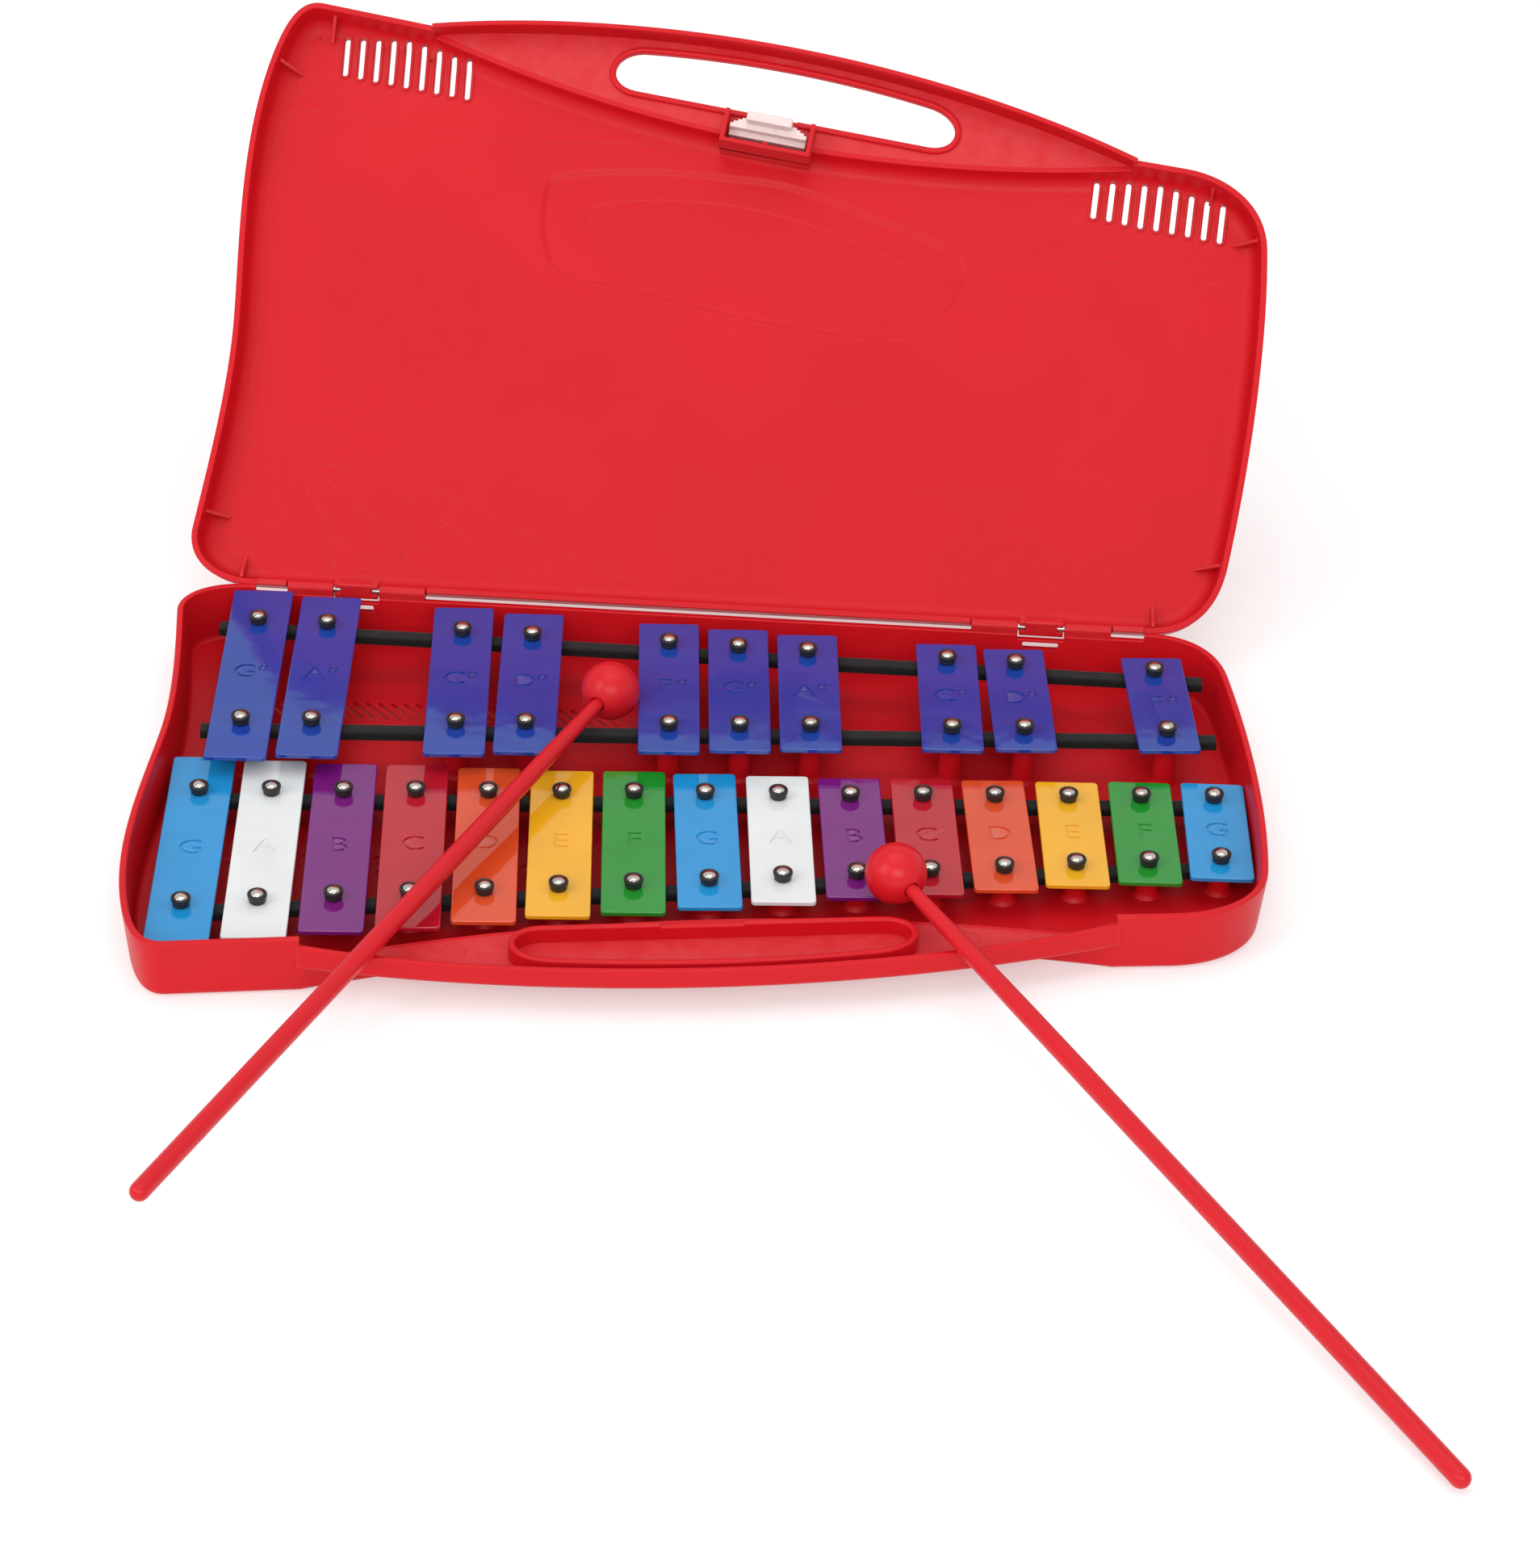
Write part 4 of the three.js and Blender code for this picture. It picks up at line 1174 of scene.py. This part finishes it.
# -------------------- mallets
for side in ("left", "right"):
    low, high = box_mm(f"mallet_{side}_head")
    head = (low + high) / 2
    points = [v.co / MM for v in frame["nodes"][f"mallet_{side}_stick"].data.vertices]
    tip = max(points, key=lambda p: (p - head).length)
    far = [p for p in points if (p - tip).length < 1.5] or [tip]
    end = sum(far, Vector()) / len(far)
    tail = [p for p in points if (p - head).length > (end - head).length - 12]
    axis = (sum(tail, Vector()) / len(tail) - head).normalized()
    reach = (end - head).dot(axis)
    place = Matrix.Translation(head) @ axis.to_track_quat("Z", "Y").to_matrix().to_4x4()
    ball = []
    for i in range(37):
        a = math.pi * i / 36
        seam = 0.05 if i == 18 else 0.0
        ball.append(((HEAD_R + seam) * math.sin(a), -(HEAD_R + seam) * math.cos(a)))
    ball = [p for p in ball if not (p[1] > 0 and p[0] < 2.7)]
    ball += [(2.75, 9.2), (2.5, 9.12), (2.4, 8.7), (2.4, 3.2), (0, 3.2)]
    body = f"mallet_{side}"
    knob = Solid()
    knob.lathe(ball, 56, place)
    knob.finish(f"{body}_ball", mallet_red, body, "mallet_red", [f"{body}_head"], smooth=40)
    stick = [(0, 3.5), (2.0, 3.5), (2.15, 3.8), (2.15, 13.6), (2.25, 14.0), (2.4, 22), (2.7, 40)]
    stick += [(2.95, 75), (3.0, 110), (2.98, reach - 40), (2.95, reach - 3)]
    stick += [(2.95 * math.cos(a), reach - 3 + 3 * math.sin(a)) for a in (0.35, 0.7, 1.0, 1.25, 1.45)]
    stick.append((0, reach))
    rod = Solid()
    rod.lathe(stick, 32, place)
    rod.finish(f"{body}_handle", mallet_red, body, "mallet_red", [f"{body}_stick"], smooth=40)


# -------------------- floor, light and camera
floor_mesh = bpy.data.meshes.new("floor")
floor_mesh.from_pydata([(-6, -5, 0), (6, -5, 0), (6, 8, 0), (-6, 8, 0)], [], [(0, 1, 2, 3)])
floor = bpy.data.objects.new("floor", floor_mesh)
bpy.context.scene.collection.objects.link(floor)
paper, *_, shader = new_material("pale_floor")
shader.inputs["Base Color"].default_value = (0.6, 0.6, 0.6, 1)
shader.inputs["Roughness"].default_value = 0.65
shader.inputs["Emission Color"].default_value = (1, 1, 1, 1)
shader.inputs["Emission Strength"].default_value = 0.4
floor.data.materials.append(paper)

world = bpy.data.worlds.new("studio")
world.use_nodes = True
world.node_tree.nodes["Background"].inputs[0].default_value = (1.0, 1.0, 1.0, 1)
world.node_tree.nodes["Background"].inputs[1].default_value = 0.75
bpy.context.scene.world = world
bpy.context.scene.view_settings.view_transform = "Standard"


def softbox(name, at, aim, size, power):
    light = bpy.data.lights.new(name, "AREA")
    light.shape = "RECTANGLE"
    light.size, light.size_y = size
    light.energy = power
    obj = bpy.data.objects.new(name, light)
    bpy.context.scene.collection.objects.link(obj)
    obj.location = at
    obj.rotation_euler = (Vector(aim) - Vector(at)).to_track_quat("-Z", "Y").to_euler()


softbox("key_left", (-1.3, -0.9, 1.2), (0, 0.05, 0), (0.8, 1.1), 9)
softbox("front", (0.3, -2.4, 1.7), (0, 0.1, 0.1), (2.2, 1.0), 30)
softbox("overhead", (0, 0.1, 1.9), (0, 0.05, 0), (1.6, 1.2), 8)

# The camera's place and angles are those that put the hinges, rims and bars where the photograph has them.
camera_data = bpy.data.cameras.new("camera")
camera_data.sensor_width = 36.0
camera_data.lens = 99.78
camera_data.shift_x = 0.0728
camera_data.shift_y = -0.0136
camera_data.clip_start, camera_data.clip_end = 0.05, 30
camera = bpy.data.objects.new("camera", camera_data)
bpy.context.scene.collection.objects.link(camera)
view = Matrix.Rotation(math.radians(3.918), 4, "Z") @ Matrix.Rotation(math.radians(90 - 33.057), 4, "X")
view = view @ Matrix.Rotation(math.radians(1.13), 4, "Z")
camera.matrix_world = Matrix.Translation((0.07224, -1.15348, 0.77532)) @ view
bpy.context.scene.camera = camera
